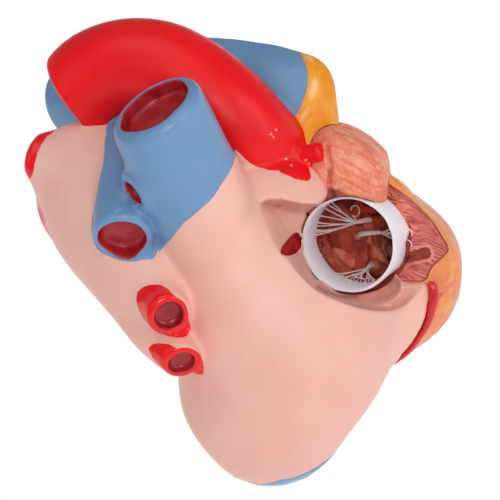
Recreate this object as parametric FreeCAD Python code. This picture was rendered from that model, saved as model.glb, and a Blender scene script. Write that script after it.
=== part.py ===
import FreeCAD, Part
import math
import os

# Life-size anatomical heart in two sections.
# All shapes are laid out in a bench frame (u right, v up, w out of the bench,
# millimetres) and set down in the part frame at the end:
# +X the subject's left, +Y posterior, +Z superior, origin at the mouth of the
# stand bush in the underside.

V = FreeCAD.Vector

# ---------------------------------------------------------------- frames
BENCH_X_ROW = (-0.45864, 0.38753, -0.79967)
BENCH_Y_ROW = (-0.85944, -0.42217, 0.28833)
BENCH_Z_ROW = (-0.22586, 0.81951, 0.52668)
STAND_MOUTH = (8.2, -32.5, -35.9)         # bench position of the part origin

# ---------------------------------------------------------------- valve plane
VALVE_PLANE_POINT = (23.0, 0.0, -12.0)
VALVE_PLANE_NORMAL = (-0.36083, -0.03007, 0.93215)   # towards the atria
SECTION_GAP = 0.3                          # between the two mating faces
LIFT_CLEARANCE = 0.5                       # around anything that lifts past

# ---------------------------------------------------------------- ventricles
APEX = (47.0, 2.0, -84.0)
LV_CENTRE = (0.0, -3.0, -21.0)
LV_SEMI = (27.0, 28.0, 80.0)
LV_WALL = 9.0
RV_CENTRE = (30.0, -9.0, -9.5)
RV_SEMI = (33.3, 30.0, 76.0)
RV_WALL = 5.5
SEPTUM_SKIN = 3.0
ROOF = 5.0
RV_SHOULDER_DROP = 9.0                     # the outer wall rounds off this far below the groove
RV_SHOULDER_SEMI = 14.0
RV_SHOULDER_V = -9.0                       # full cut face above this line, rounded shoulder below it
CONUS_CENTRE = (22.5, 22.0, -18.0)
CONUS_SEMI = (19.5, 18.0, 24.0)
BULGE_CENTRE = (29.3, 24.2, -5.0)
BULGE_SEMI = (12.2, 14.0, 12.5)

# ---------------------------------------------------------------- valves
RING_TOP = (29.2, 1.5, 2.5)
RING_AXIS = (0.46, 0.20, -0.865)
RING_R = 14.0
RING_WALL = 1.2
RING_H = 11.0
RING_SWEEP_R = 16.6
MITRAL_CENTRE = (-3.0, -5.0, -22.2)
MITRAL_R = 11.5
AORTIC_CENTRE = (7.0, 22.0, -17.5)
AORTIC_R = 9.0
PULMONARY_CENTRE = (21.0, 33.0, -11.0)

# ---------------------------------------------------------------- great vessels
SVC_PATH = [(-27.3, 40.2, 38.0), (-20.9, 26.3, 28.5), (-15.7, 15.7, 19.5)]
SVC_RADII = [13.8, 14.8, 15.6]
SINUS_PATH = [(-19.0, 21.8, 25.0), (-15.4, 14.5, 18.5), (-8.3, -2.4, 8.0), (0.0, -15.0, 0.0)]
SINUS_RADII = [13.6, 15.0, 17.5, 20.0]
SVC_LUMEN_R = 11.4
IVC_PATH = [(9.0, -44.0, -6.0), (10.2, -54.0, -16.0), (10.6, -59.5, -28.0)]
IVC_RADII = [17.0, 16.5, 15.8]
IVC_LUMEN_R = 12.0
AORTA_PATH = [(7.0, 22.0, -17.5), (6.7, 26.5, -9.0), (0.6, 33.7, -2.0), (-6.9, 42.2, 1.0),
              (-16.8, 50.6, 1.0), (-25.5, 54.9, 0.0), (-36.7, 55.1, -2.0), (-46.5, 50.6, -5.0),
              (-50.8, 46.5, -7.0)]
AORTA_RADII = [13.5, 14.0, 14.2, 14.2, 14.2, 14.2, 14.1, 14.0, 14.0]
AORTA_LUMEN_R = 11.5
PULM_PATH = [(19.5, 34.0, -11.0), (13.2, 46.0, -18.5), (1.0, 51.5, -25.5), (-13.0, 53.3, -29.5),
             (-32.0, 52.8, -33.0)]
PULM_RADII = [11.0, 13.2, 13.3, 13.3, 13.2]
LPA_PATH = [(-32.0, 52.8, -33.0), (-46.0, 50.5, -37.0), (-53.0, 48.5, -46.0)]
LPA_RADII = [13.2, 12.8, 12.2]
RPA_PATH = [(-31.4, 48.6, -27.0), (-35.6, 38.4, -14.0), (-36.5, 26.9, 2.0), (-36.9, 15.2, 15.0), (-36.9, 3.4, 26.0)]
RPA_RADII = [9.5, 9.5, 9.3, 9.2, 9.0]
RPA_LUMEN_R = 6.8
AZYGOS_PATH = [(-24.5, 20.0, 27.0), (-33.0, 16.5, 31.5)]
AZYGOS_R = 5.0
AZYGOS_LUMEN_R = 3.0

# ---------------------------------------------------------------- atria
RA_CENTRE = (12.0, -22.5, 0.0)
RA_SEMI = (33.0, 39.0, 28.0)
RA_LOW_CENTRE = (6.3, -45.2, -3.0)
RA_LOW_SEMI = (26.3, 26.5, 24.0)
RA_SHOULDER_CENTRE = (6.5, 17.5, -1.0)
RA_SHOULDER_SEMI = (19.5, 10.0, 18.0)
RA_FLOOR_CENTRE = (33.0, -10.0, -8.0)
RA_FLOOR_SEMI = (22.0, 24.0, 14.0)
WINDOW_CORNER = (41.0, -2.1)               # the window leaves the floor through this corner
WINDOW_LINE = (0.855, -0.519)
DISH_CENTRE = (31.7, 6.5, 7.0)
DISH_SEMI = (29.0, 27.0, 19.0)
LA_SPINE = [(-49.2, 23.7, -8.0), (-41.6, 8.4, -3.0), (-29.8, -5.4, 4.0), (-18.9, -20.1, 8.0)]
LA_SPINE_RADII = [18.0, 19.5, 20.0, 17.5]
LA_CENTRE = (-23.9, 5.5, -12.0)
LA_SEMI = (27.0, 29.0, 28.0)
LA_BASE_CENTRE = (-0.5, -4.0, -20.0)
LA_BASE_SEMI = (26.5, 27.0, 24.0)
LA_CHAMBER_R = 15.0
LEFT_AURICLE_CENTRE = (-34.0, 31.0, -27.0)
LEFT_AURICLE_SEMI = (15.0, 14.0, 8.5)
# pulmonary veins: root, mouth, root radius, mouth radius, lumen radius
VEINS = {
    "right_superior_pulmonary_vein": ((-27.5, -11.0, 14.0), (-22.8, -18.6, 30.5), 9.0, 7.5, 4.6),
    "right_inferior_pulmonary_vein": ((-21.0, -24.0, 11.0), (-19.6, -32.8, 23.5), 8.5, 7.2, 4.2),
    "left_superior_pulmonary_vein": ((-52.0, 24.0, -2.0), (-65.5, 28.6, -1.0), 9.5, 8.0, 5.2),
    "left_inferior_pulmonary_vein": ((-50.0, 14.0, -8.0), (-62.5, 9.0, -12.0), 8.5, 7.0, 4.6),
}

# ---------------------------------------------------------------- fittings
PEG_R = 2.0
PEG_SOCKET_R = 2.3
PEG_LENGTH = 14.0
PEG_STANDS = 6.0
PEG_AT = [(-19.0, 12.0), (-12.0, -22.0)]
MAGNET_R = 3.0
MAGNET_T = 2.0
MAGNET_AT = [(-20.5, -5.0)]
STAND_BUSH_R = 6.5
STAND_BORE_R = 4.0
STAND_BUSH_LENGTH = 17.0
STAND_BORE_DEPTH = 14.0


# ---------------------------------------------------------------- small helpers
def vec(p):
    return V(p[0], p[1], p[2])


def unit(p):
    q = V(p)
    q.normalize()
    return q


N = unit(vec(VALVE_PLANE_NORMAL))
P0 = vec(VALVE_PLANE_POINT)


def on_plane(u, v, up=0.0):
    w = P0.z - (N.x * (u - P0.x) + N.y * (v - P0.y)) / N.z
    return V(u, v, w) + N * up


def side_axes(axis):
    ref = V(0, 1, 0) if abs(axis.y) < 0.9 else V(1, 0, 0)
    a = ref.cross(axis)
    a.normalize()
    b = axis.cross(a)
    b.normalize()
    return a, b


def ellipsoid(centre, semi, axis=None, grow=0.0):
    """Solid ellipsoid; its third semi-axis lies along axis."""
    if axis is None:
        ax, ay, az = V(1, 0, 0), V(0, 1, 0), V(0, 0, 1)
    else:
        az = unit(axis)
        up = V(0, 1, 0)
        ax = up.cross(az)
        ax.normalize()
        ay = az.cross(ax)
    a, b, c = [s + grow for s in semi]
    m = FreeCAD.Matrix(
        ax.x * a, ay.x * b, az.x * c, centre[0],
        ax.y * a, ay.y * b, az.y * c, centre[1],
        ax.z * a, ay.z * b, az.z * c, centre[2],
        0, 0, 0, 1)
    return Part.makeSphere(1.0).transformGeometry(m)


def cylinder(start, end, r):
    d = end - start
    return Part.makeCylinder(r, d.Length, start, d)


def cone(start, end, r0, r1):
    d = end - start
    return Part.makeCone(r0, r1, d.Length, start, d)


def tube(path, radii):
    """Smooth solid through circles set square to the path."""
    pts = [vec(p) for p in path]
    wires = []
    for i, p in enumerate(pts):
        if i == 0:
            t = pts[1] - pts[0]
        elif i == len(pts) - 1:
            t = pts[-1] - pts[-2]
        else:
            t = unit(pts[i + 1] - p) + unit(p - pts[i - 1])
        t = unit(t)
        wires.append(Part.Wire([Part.Circle(p, t, radii[i]).toShape()]))
    if len(pts) == 2:
        return cone(pts[0], pts[1], radii[0], radii[1]) if radii[0] != radii[1] else cylinder(pts[0], pts[1], radii[0])
    return Part.makeLoft(wires, True, False)


def half_space(offset, above):
    """Big block whose face is the valve plane moved by offset along its normal."""
    size = 400.0
    block = Part.makeBox(size, size, 200.0, V(-size / 2, -size / 2, 0))
    block.Placement = FreeCAD.Placement(P0 + N * offset, FreeCAD.Rotation(V(0, 0, 1), N if above else N * -1))
    return block


def footprint(centre, semi, lower, upper, grow=0.0):
    """Elliptic prism square to the valve plane, between two heights from it."""
    ax = V(0, 1, 0).cross(N)
    ax.normalize()
    ay = N.cross(ax)
    a, b = semi[0] + grow, semi[1] + grow
    c = vec(centre)
    c = c - N * ((c - P0).dot(N)) + N * lower
    h = upper - lower
    m = FreeCAD.Matrix(
        ax.x * a, ay.x * b, N.x * h, c.x,
        ax.y * a, ay.y * b, N.y * h, c.y,
        ax.z * a, ay.z * b, N.z * h, c.z,
        0, 0, 0, 1)
    return Part.makeCylinder(1.0, 1.0).transformGeometry(m)


def slab(lower, upper):
    return half_space(lower, True).common(half_space(upper, False))


def solid_of(shape):
    """The largest solid of a boolean result."""
    solids = sorted(shape.Solids, key=lambda s: s.Volume)
    return solids[-1]


def cut(shape, *tools):
    out = shape
    for t in tools:
        out = out.cut(t)
    return solid_of(out)


NODES = {}


def keep(name, shape):
    NODES[name] = shape


# ---------------------------------------------------------------- ventricle section
below = half_space(0.0, False)
above = half_space(SECTION_GAP, True)
under_roof = half_space(-ROOF, False)

lv_axis = vec(APEX) - vec(LV_CENTRE)
rv_axis = vec(APEX) - vec(RV_CENTRE)
lv_full = ellipsoid(LV_CENTRE, LV_SEMI, lv_axis).common(below)

# right ventricle: full to the cut face above RV_SHOULDER_V, rounded into the groove below it
rv_whole = ellipsoid(RV_CENTRE, RV_SEMI, rv_axis)
rv_low = rv_whole.common(half_space(-RV_SHOULDER_DROP, False))
shoulder_at = vec(RV_CENTRE) + unit(rv_axis) * (RV_SHOULDER_DROP + 0.2)
shoulder = ellipsoid(shoulder_at, (RV_SEMI[0] * 0.99, RV_SEMI[1] * 0.99, RV_SHOULDER_SEMI), N)
shoulder = shoulder.common(slab(-RV_SHOULDER_DROP - 0.5, 0.0)).common(rv_whole)
upper_box = Part.makeBox(200, 100, 200, V(-100, RV_SHOULDER_V, -100))
rv_top = rv_whole.common(slab(-RV_SHOULDER_DROP - 0.5, 0.0)).common(upper_box)
rv_full = solid_of(rv_low.fuse(shoulder).fuse(rv_top))

lv_room = ellipsoid(LV_CENTRE, LV_SEMI, lv_axis, -LV_WALL).common(under_roof)
rv_room = ellipsoid(RV_CENTRE, RV_SEMI, rv_axis, -RV_WALL).common(under_roof)
rv_room = cut(rv_room, ellipsoid(LV_CENTRE, LV_SEMI, lv_axis, SEPTUM_SKIN))

ring_top = vec(RING_TOP)
ring_axis = unit(vec(RING_AXIS))
ring_end = ring_top + ring_axis * RING_H
ring_bore = cylinder(ring_top - ring_axis * 2, ring_end + ring_axis * 12, RING_R - RING_WALL)
ring_seat = cylinder(ring_top, ring_end, RING_R)

mitral_top = on_plane(MITRAL_CENTRE[0], MITRAL_CENTRE[1])
mitral_hole = cylinder(mitral_top + N * 0.5, mitral_top - N * 9.0, MITRAL_R)
aortic_top = on_plane(AORTIC_CENTRE[0], AORTIC_CENTRE[1])
aortic_hole = cylinder(aortic_top + N * 0.5, aortic_top - N * 14.0, AORTIC_R)

# dome of the outflow tract: elliptic prism to its widest level, then half an ellipsoid
bulge_height = (vec(BULGE_CENTRE) - P0).dot(N)
dome_top = half_space(bulge_height - 0.01, True)
dome = footprint(BULGE_CENTRE, BULGE_SEMI, -2.0, bulge_height).fuse(ellipsoid(BULGE_CENTRE, BULGE_SEMI, N).common(dome_top))
dome_sweep = footprint(BULGE_CENTRE, BULGE_SEMI, -30.0, bulge_height, LIFT_CLEARANCE).fuse(
    ellipsoid(BULGE_CENTRE, BULGE_SEMI, N, LIFT_CLEARANCE).common(dome_top))
conus_low = ellipsoid(CONUS_CENTRE, CONUS_SEMI).common(below)
ring_well = cylinder(ring_top - N * 12, ring_top + N * 14, RING_R + 0.8)
conus_full = conus_low.fuse(dome)

# magnets and pegs in the mating face
magnets_low = [cylinder(on_plane(u, v, -MAGNET_T), on_plane(u, v, 0), MAGNET_R) for u, v in MAGNET_AT]
magnets_high = [cylinder(on_plane(u, v, SECTION_GAP), on_plane(u, v, SECTION_GAP + MAGNET_T), MAGNET_R) for u, v in MAGNET_AT]
pegs = [cylinder(on_plane(u, v, PEG_STANDS - PEG_LENGTH), on_plane(u, v, PEG_STANDS), PEG_R) for u, v in PEG_AT]
sockets = [cylinder(on_plane(u, v, -1), on_plane(u, v, PEG_STANDS + 1.0), PEG_SOCKET_R) for u, v in PEG_AT]

# stand bush, square to the part's own vertical axis
UP = unit(vec(BENCH_Z_ROW))
mouth = vec(STAND_MOUTH)
bush_hole = cylinder(mouth - UP * 6, mouth + UP * STAND_BUSH_LENGTH, STAND_BUSH_R)
bush = cylinder(mouth, mouth + UP * STAND_BUSH_LENGTH, STAND_BUSH_R).cut(
    cylinder(mouth, mouth + UP * STAND_BORE_DEPTH, STAND_BORE_R))

# wall of each chamber, and a boss round the stand bush inside the left chamber
boss = cylinder(mouth, mouth + UP * (STAND_BUSH_LENGTH + 3.0), STAND_BUSH_R + 3.0)
lv_room = lv_room.cut(boss)
left_ventricle = cut(lv_full, lv_room, mitral_hole, aortic_hole, bush_hole, ring_seat, ring_bore, *(magnets_low + pegs))
right_ventricle = cut(rv_full, lv_full, rv_room, ring_bore, ring_seat, bush_hole, *pegs)
conus = cut(conus_full, lv_full, rv_full, ring_well, ring_seat, aortic_hole)
keep("left_ventricle", left_ventricle)
keep("right_ventricle", right_ventricle)
keep("conus_arteriosus", conus)
keep("stand_bush", solid_of(bush))
keep("locating_pegs", Part.makeCompound(pegs))
keep("ventricle_magnet", Part.makeCompound(magnets_low))

# tricuspid ring, its three papillary muscles and the strands between them
ring = solid_of(ring_seat.cut(cylinder(ring_top - ring_axis, ring_end + ring_axis, RING_R - RING_WALL)))
keep("tricuspid_valve_ring", ring)
ring_a, ring_b = side_axes(ring_axis)


def ring_foot(angle, depth, r=RING_R - RING_WALL * 0.5):
    t = math.radians(angle)
    return ring_top + ring_axis * depth + ring_a * (r * math.cos(t)) + ring_b * (r * math.sin(t))


RV_MUSCLES = {
    "anterior": ((35.4, 9.5, -17.0), (57.0, 12.0, -46.0), [150, 165, 180, 195, 212]),
    "septal": ((34.3, 3.6, -18.5), (45.0, 3.0, -40.0), [250, 268, 286]),
    "posterior": ((37.4, -6.6, -18.5), (55.0, -18.0, -46.0), [310, 325, 340, 355, 12, 28]),
}
strands_done = []
for name, (tip, base, angles) in RV_MUSCLES.items():
    tip, base = vec(tip), vec(base)
    muscle = cone(tip, base, 2.2, 5.0).fuse(Part.makeSphere(2.2, tip)).common(rv_room)
    muscle = solid_of(muscle)
    keep(name + "_papillary_muscle", muscle)
    strands = None
    for angle in angles:
        end = ring_foot(angle, RING_H - 2.5)
        one = cylinder(tip, end, 0.55)
        strands = one if strands is None else strands.fuse(one)
    for other in [muscle, ring, right_ventricle, left_ventricle] + strands_done:
        strands = strands.cut(other)
    strands_done.append(strands)
    keep(name + "_chordae", Part.makeCompound([s for s in strands.Solids if s.Volume > 1.0]))

# mitral ring, papillary muscles and strands
mitral_ring = solid_of(cylinder(mitral_top - N * 6, mitral_top, MITRAL_R).cut(cylinder(mitral_top - N * 7, mitral_top + N, MITRAL_R - 1.2)))
keep("mitral_valve_ring", mitral_ring)
mitral_a, mitral_b = side_axes(N)
LV_MUSCLES = {
    "anterolateral": ((4.0, 7.0, -40.0), (0.0, 22.0, -66.0), [60, 85, 110, 135]),
    "posteromedial": ((4.0, -12.0, -40.0), (2.0, -24.0, -66.0), [240, 265, 290, 315]),
}
mitral_strands = None
lv_muscle_list = []
for name, (tip, base, angles) in LV_MUSCLES.items():
    tip, base = vec(tip), vec(base)
    muscle = solid_of(cone(tip, base, 2.6, 6.0).fuse(Part.makeSphere(2.6, tip)).common(lv_room))
    lv_muscle_list.append(muscle)
    keep(name + "_papillary_muscle", muscle)
    for angle in angles:
        t = math.radians(angle)
        end = mitral_top - N * 5.0 + mitral_a * (10.9 * math.cos(t)) + mitral_b * (10.9 * math.sin(t))
        one = cylinder(tip, end, 0.55)
        mitral_strands = one if mitral_strands is None else mitral_strands.fuse(one)
for other in lv_muscle_list + [mitral_ring, left_ventricle]:
    mitral_strands = mitral_strands.cut(other)
keep("mitral_chordae", Part.makeCompound([s for s in mitral_strands.Solids if s.Volume > 1.0]))


def cusps(centre, axis, r):
    """Three thin pockets, domed against the flow, a hair apart."""
    axis = unit(axis)
    ball = centre + axis * (r * 1.1)
    shell = Part.makeSphere(r * 1.55, ball).cut(Part.makeSphere(r * 1.55 - 0.9, ball))
    disc = shell.common(cylinder(centre - axis * r * 0.7, centre + axis * r * 0.25, r))
    a, b = side_axes(axis)
    for i in range(3):
        t = math.radians(90 + 120 * i)
        d = a * math.cos(t) + b * math.sin(t)
        slot = Part.makeBox(r * 1.2, 0.5, r * 4, V(0, -0.25, -r * 2))
        m = FreeCAD.Matrix(d.x, axis.cross(d).x, axis.x, centre.x,
                           d.y, axis.cross(d).y, axis.y, centre.y,
                           d.z, axis.cross(d).z, axis.z, centre.z, 0, 0, 0, 1)
        slot.Placement = FreeCAD.Placement(m)
        disc = disc.cut(slot)
    return Part.makeCompound([s for s in disc.Solids if s.Volume > 2.0])


keep("aortic_valve_cusps", cusps(aortic_top - N * 6.0, N, AORTIC_R))

# ---------------------------------------------------------------- vessels on the ventricles
ellipsoid_forms = [(vec(LV_CENTRE), LV_SEMI, unit(lv_axis)), (vec(RV_CENTRE), RV_SEMI, unit(rv_axis))]


def inside_ventricles(p):
    if (p - P0).dot(N) > 0:
        return False
    for c, semi, az in ellipsoid_forms:
        ax = V(0, 1, 0).cross(az)
        ax.normalize()
        ay = az.cross(ax)
        d = p - c
        if (d.dot(ax) / semi[0]) ** 2 + (d.dot(ay) / semi[1]) ** 2 + (d.dot(az) / semi[2]) ** 2 < 1:
            return True
    d = p - vec(CONUS_CENTRE)
    return (d.x / CONUS_SEMI[0]) ** 2 + (d.y / CONUS_SEMI[1]) ** 2 + (d.z / CONUS_SEMI[2]) ** 2 < 1


def skin(start, aim, lift=0.5):
    """First point outside the ventricles on the ray from start through aim."""
    d = unit(aim - start)
    lo, hi = 0.0, 120.0
    while hi - lo > 0.01:
        mid = (lo + hi) / 2
        if inside_ventricles(start + d * mid):
            lo = mid
        else:
            hi = mid
    return start + d * (lo + lift)


axis_top = vec((16.0, -4.0, -22.0))
axis_low = vec((44.0, 2.0, -76.0))


def surface_path(samples, lift=0.5):
    """samples: (fraction down the long axis, angle round it in degrees)."""
    az = unit(axis_low - axis_top)
    ax = V(0, 1, 0).cross(az)
    ax.normalize()
    ay = az.cross(ax)
    pts = []
    for f, deg in samples:
        c = axis_top + (axis_low - axis_top) * f
        t = math.radians(deg)
        pts.append(skin(c, c + ax * math.cos(t) + ay * math.sin(t), lift))
    return pts


def vessel(pts, r0, r1):
    n = len(pts)
    radii = [r0 + (r1 - r0) * i / (n - 1) for i in range(n)]
    return tube([(p.x, p.y, p.z) for p in pts], radii)


VESSELS = {
    # name: samples down the surface, radius at the start and at the end
    "left_anterior_descending_artery": ([(0.2, 95), (0.27, 90), (0.35, 84), (0.5, 76), (0.65, 68), (0.8, 60), (0.93, 50)], 1.9, 1.2),
    "great_cardiac_vein": ([(0.15, 106), (0.24, 99), (0.35, 92), (0.5, 84), (0.65, 76), (0.8, 70)], 1.8, 1.2),
    "posterior_interventricular_artery": ([(0.1, 262), (0.22, 266), (0.36, 272), (0.52, 278), (0.68, 286), (0.84, 296)], 1.8, 1.2),
    "middle_cardiac_vein": ([(0.1, 252), (0.22, 257), (0.36, 263), (0.52, 269), (0.68, 276)], 1.9, 1.2),
}
done = [lv_full, rv_full, conus_full]
for name, (samples, r0, r1) in VESSELS.items():
    one = vessel(surface_path(samples), r0, r1)
    one = cut(one, *done)
    keep(name, one)
    done.append(one)


def groove_path(us, drop):
    """Points round the base of the ventricles, a little below the valve plane."""
    pts = []
    c = on_plane(14.0, -4.0, -drop)
    ax = V(0, 1, 0).cross(N)
    ax.normalize()
    ay = N.cross(ax)
    for deg in us:
        t = math.radians(deg)
        pts.append(skin(c, c + ax * math.cos(t) + ay * math.sin(t), 0.6))
    return pts


RCA_LINE = [(54.0, -10.5, -1.2), (53.8, -17.5, -2.2), (50.5, -25.0, -3.8), (44.5, -31.0, -6.2),
            (36.0, -34.8, -9.4), (26.0, -35.6, -13.2), (16.0, -33.6, -17.0)]
done.append(bush_hole)
rca = cut(tube([(p[0], p[1], p[2] - 0.6) for p in RCA_LINE], [2.1, 2.1, 2.1, 2.0, 1.9, 1.8, 1.7]).common(half_space(-0.05, False)), *done)
keep("right_coronary_artery", rca)
done.append(rca)
circumflex = cut(vessel(groove_path([112, 128, 145, 163, 182, 200, 216], 2.6), 1.8, 1.3).common(half_space(-0.05, False)), *done)
keep("circumflex_artery", circumflex)
done.append(circumflex)
sinus = cut(vessel(groove_path([178, 196, 214, 230, 244], 7.0), 2.4, 3.2), *done)
keep("coronary_sinus", sinus)

# ---------------------------------------------------------------- atrial section
lv_shadow = footprint(LV_CENTRE, LV_SEMI, -90.0, SECTION_GAP, 1.0)
rv_shadow = footprint(RV_CENTRE, RV_SEMI, -90.0, SECTION_GAP, 1.0)
conus_shadow = footprint(CONUS_CENTRE, CONUS_SEMI, -90.0, SECTION_GAP, 1.0)
shadows = [lv_shadow, rv_shadow, conus_shadow, dome_sweep]

aorta_path = [(7.3, 17.5, -26.0)] + AORTA_PATH
aorta_full = tube(aorta_path, [AORTA_RADII[0]] + AORTA_RADII).common(above)
aorta_full = cut(aorta_full, dome_sweep)
svc_full = cut(tube(SVC_PATH, SVC_RADII), aorta_full)
rpa_full = cut(tube(RPA_PATH, RPA_RADII), aorta_full, svc_full)
pulm_path = [(23.0, 27.0, -6.5)] + PULM_PATH
pulm_full = cut(tube(pulm_path, [10.5] + PULM_RADII), aorta_full, rpa_full, *shadows)
lpa_full = cut(tube(LPA_PATH, LPA_RADII), aorta_full, pulm_full, rpa_full)

dish = ellipsoid(DISH_CENTRE, DISH_SEMI)
ring_sweep = cylinder(ring_top + N * 40, ring_top - N * 30, RING_SWEEP_R)
corner = V(WINDOW_CORNER[0], WINDOW_CORNER[1], -60)
line = unit(V(WINDOW_LINE[0], WINDOW_LINE[1], 0))
across = V(0, 0, 1).cross(line)
window_wedge = Part.makeBox(70, 70, 120)
window_wedge.Placement = FreeCAD.Placement(FreeCAD.Matrix(
    line.x, across.x, 0, corner.x, line.y, across.y, 0, corner.y, 0, 0, 1, corner.z, 0, 0, 0, 1))

ra_full = ellipsoid(RA_CENTRE, RA_SEMI).fuse(ellipsoid(RA_LOW_CENTRE, RA_LOW_SEMI)).fuse(tube(SINUS_PATH, SINUS_RADII))
ra_full = ra_full.fuse(ellipsoid(RA_SHOULDER_CENTRE, RA_SHOULDER_SEMI)).fuse(ellipsoid(RA_FLOOR_CENTRE, RA_FLOOR_SEMI))
ra_full = ra_full.common(above)
# IVC passes down outside the ventricles
ivc_full = tube([(7.0, -30.0, 2.0)] + IVC_PATH, [16.0] + IVC_RADII)
ra_full = cut(ra_full, aorta_full, svc_full, rpa_full)
right_atrium = cut(ra_full, dish, ring_sweep, window_wedge, dome_sweep, *(sockets))
ivc = cut(ivc_full, ra_full, lv_shadow, rv_shadow, window_wedge, dish, ring_sweep)

la_full = ellipsoid(LA_CENTRE, LA_SEMI).fuse(ellipsoid(LA_BASE_CENTRE, LA_BASE_SEMI))
la_full = la_full.fuse(tube(LA_SPINE, LA_SPINE_RADII))
for i in (0, -1):
    la_full = la_full.fuse(Part.makeSphere(LA_SPINE_RADII[i], vec(LA_SPINE[i])))
la_full = la_full.common(above)
la_full = cut(la_full, aorta_full, svc_full, rpa_full, pulm_full, lpa_full, ra_full, ivc)
la_chamber = Part.makeSphere(LA_CHAMBER_R, on_plane(-8.0, -2.0, 3.0))
auricle_full = cut(ellipsoid(LEFT_AURICLE_CENTRE, LEFT_AURICLE_SEMI).common(above), la_full, pulm_full, lpa_full, rpa_full, aorta_full, dome_sweep)
left_atrium = cut(la_full, la_chamber, *(sockets + magnets_high))

keep("right_atrium", right_atrium)
keep("left_atrium", left_atrium)
keep("left_auricle", auricle_full)
keep("atrial_magnet", Part.makeCompound(magnets_high))


def mouth_bore(path, r, depth):
    """Bore from the open end of a vessel inwards."""
    end = vec(path[-1])
    d = unit(vec(path[-1]) - vec(path[-2]))
    return cylinder(end - d * depth, end + d * 3, r)


svc_mouth = vec(SVC_PATH[0])
svc_dir = unit(svc_mouth - vec(SVC_PATH[1]))
svc = cut(svc_full, cylinder(svc_mouth - svc_dir * 16, svc_mouth + svc_dir * 3, SVC_LUMEN_R))
keep("superior_vena_cava", svc)
azygos = tube(AZYGOS_PATH, [AZYGOS_R, AZYGOS_R * 0.9])
azygos = cut(azygos, svc_full, rpa_full, mouth_bore(AZYGOS_PATH, AZYGOS_LUMEN_R, 6.0))
keep("azygos_vein", azygos)
keep("inferior_vena_cava", cut(ivc, mouth_bore(IVC_PATH, IVC_LUMEN_R, 16.0)))

aorta_root_bore = cylinder(aortic_top - N * 1, aortic_top + N * 8, AORTIC_R)
aorta = cut(aorta_full, mouth_bore(AORTA_PATH, AORTA_LUMEN_R, 14.0), aorta_root_bore)
stump = cut(cylinder(vec((12.0, 27.5, 2.0)), vec((21.5, 29.4, 6.2)), 2.8), aorta_full, dome_sweep, pulm_full)
keep("aorta", aorta)
keep("right_coronary_stump", stump)

pulm_dir = unit(vec(PULM_PATH[1]) - vec(PULM_PATH[0]))
pulm_valve_at = vec(PULM_PATH[1]) - pulm_dir * 3.0
pulm_bore = cylinder(vec(PULM_PATH[0]) - pulm_dir * 6, pulm_valve_at + pulm_dir * 6, 8.6)
keep("pulmonary_trunk", cut(pulm_full, pulm_bore))
valve = cusps(pulm_valve_at, pulm_dir, 8.6)
for other in shadows:
    valve = valve.cut(other)
keep("pulmonary_valve_cusps", Part.makeCompound([s for s in valve.Solids if s.Volume > 2.0]))
keep("right_pulmonary_artery", cut(rpa_full, mouth_bore(RPA_PATH, RPA_LUMEN_R, 12.0)))
keep("left_pulmonary_artery", cut(lpa_full, mouth_bore(LPA_PATH, 9.4, 9.0)))

for name, (root, mouth_at, r0, r1, lumen) in VEINS.items():
    root, mouth_at = vec(root), vec(mouth_at)
    d = unit(mouth_at - root)
    one = cone(root, mouth_at, r0, r1)
    keep(name, cut(one, la_full, ra_full, svc_full, rpa_full, lpa_full, cylinder(mouth_at - d * 6, mouth_at + d, lumen)))

# ---------------------------------------------------------------- into the part frame and out
X, Y, Z = vec(BENCH_X_ROW), vec(BENCH_Y_ROW), vec(BENCH_Z_ROW)
origin = V(X.dot(mouth), Y.dot(mouth), Z.dot(mouth))
set_down = FreeCAD.Matrix(
    X.x, X.y, X.z, -origin.x,
    Y.x, Y.y, Y.z, -origin.y,
    Z.x, Z.y, Z.z, -origin.z,
    0, 0, 0, 1)

os.makedirs("parts", exist_ok=True)
for name, shape in NODES.items():
    placed = shape.copy()
    placed.Placement = FreeCAD.Placement(set_down).multiply(placed.Placement)
    placed.exportStep("parts/" + name + ".step")
    box = placed.BoundBox
    print("%-36s solids %d  volume %8.0f  valid %s  box %s" % (
        name, len(placed.Solids), placed.Volume, placed.isValid(),
        tuple(round(c, 1) for c in (box.XMin, box.YMin, box.ZMin, box.XMax, box.YMax, box.ZMax))))
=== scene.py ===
import math
import time

import bpy
import numpy as np
from mathutils import Matrix, Vector


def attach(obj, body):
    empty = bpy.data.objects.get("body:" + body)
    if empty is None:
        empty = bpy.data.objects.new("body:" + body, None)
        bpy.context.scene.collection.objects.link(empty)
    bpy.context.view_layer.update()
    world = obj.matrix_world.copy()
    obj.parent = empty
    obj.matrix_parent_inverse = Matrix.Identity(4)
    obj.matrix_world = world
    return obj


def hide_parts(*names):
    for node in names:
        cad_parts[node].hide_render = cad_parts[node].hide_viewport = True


T0 = time.time()
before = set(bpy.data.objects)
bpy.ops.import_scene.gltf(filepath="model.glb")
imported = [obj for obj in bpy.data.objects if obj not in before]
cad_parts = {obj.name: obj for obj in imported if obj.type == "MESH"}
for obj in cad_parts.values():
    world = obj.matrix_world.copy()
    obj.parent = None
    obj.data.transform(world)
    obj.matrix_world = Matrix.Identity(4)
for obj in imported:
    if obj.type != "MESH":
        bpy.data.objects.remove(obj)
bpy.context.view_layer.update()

# ------------------------------------------------------------------ frames
# Everything is laid out in a bench frame in millimetres (u right, v up, w out of the bench) and set
# down in the row frame in metres.
ROW = np.array([(-0.45864, 0.38753, -0.79967), (-0.85944, -0.42217, 0.28833), (-0.22586, 0.81951, 0.52668)])
MOUTH = np.array((8.2, -32.5, -35.9))
P0 = np.array((23.0, 0.0, -12.0))
N = np.array((-0.36083, -0.03007, 0.93215))
N = N / np.linalg.norm(N)
UP = ROW[2] / np.linalg.norm(ROW[2])
CAMERA_MM = 600.0


def to_row(p):
    return (np.asarray(p, float) - MOUTH) @ ROW.T / 1000.0


def unit(v):
    v = np.asarray(v, float)
    return v / np.linalg.norm(v)


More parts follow.
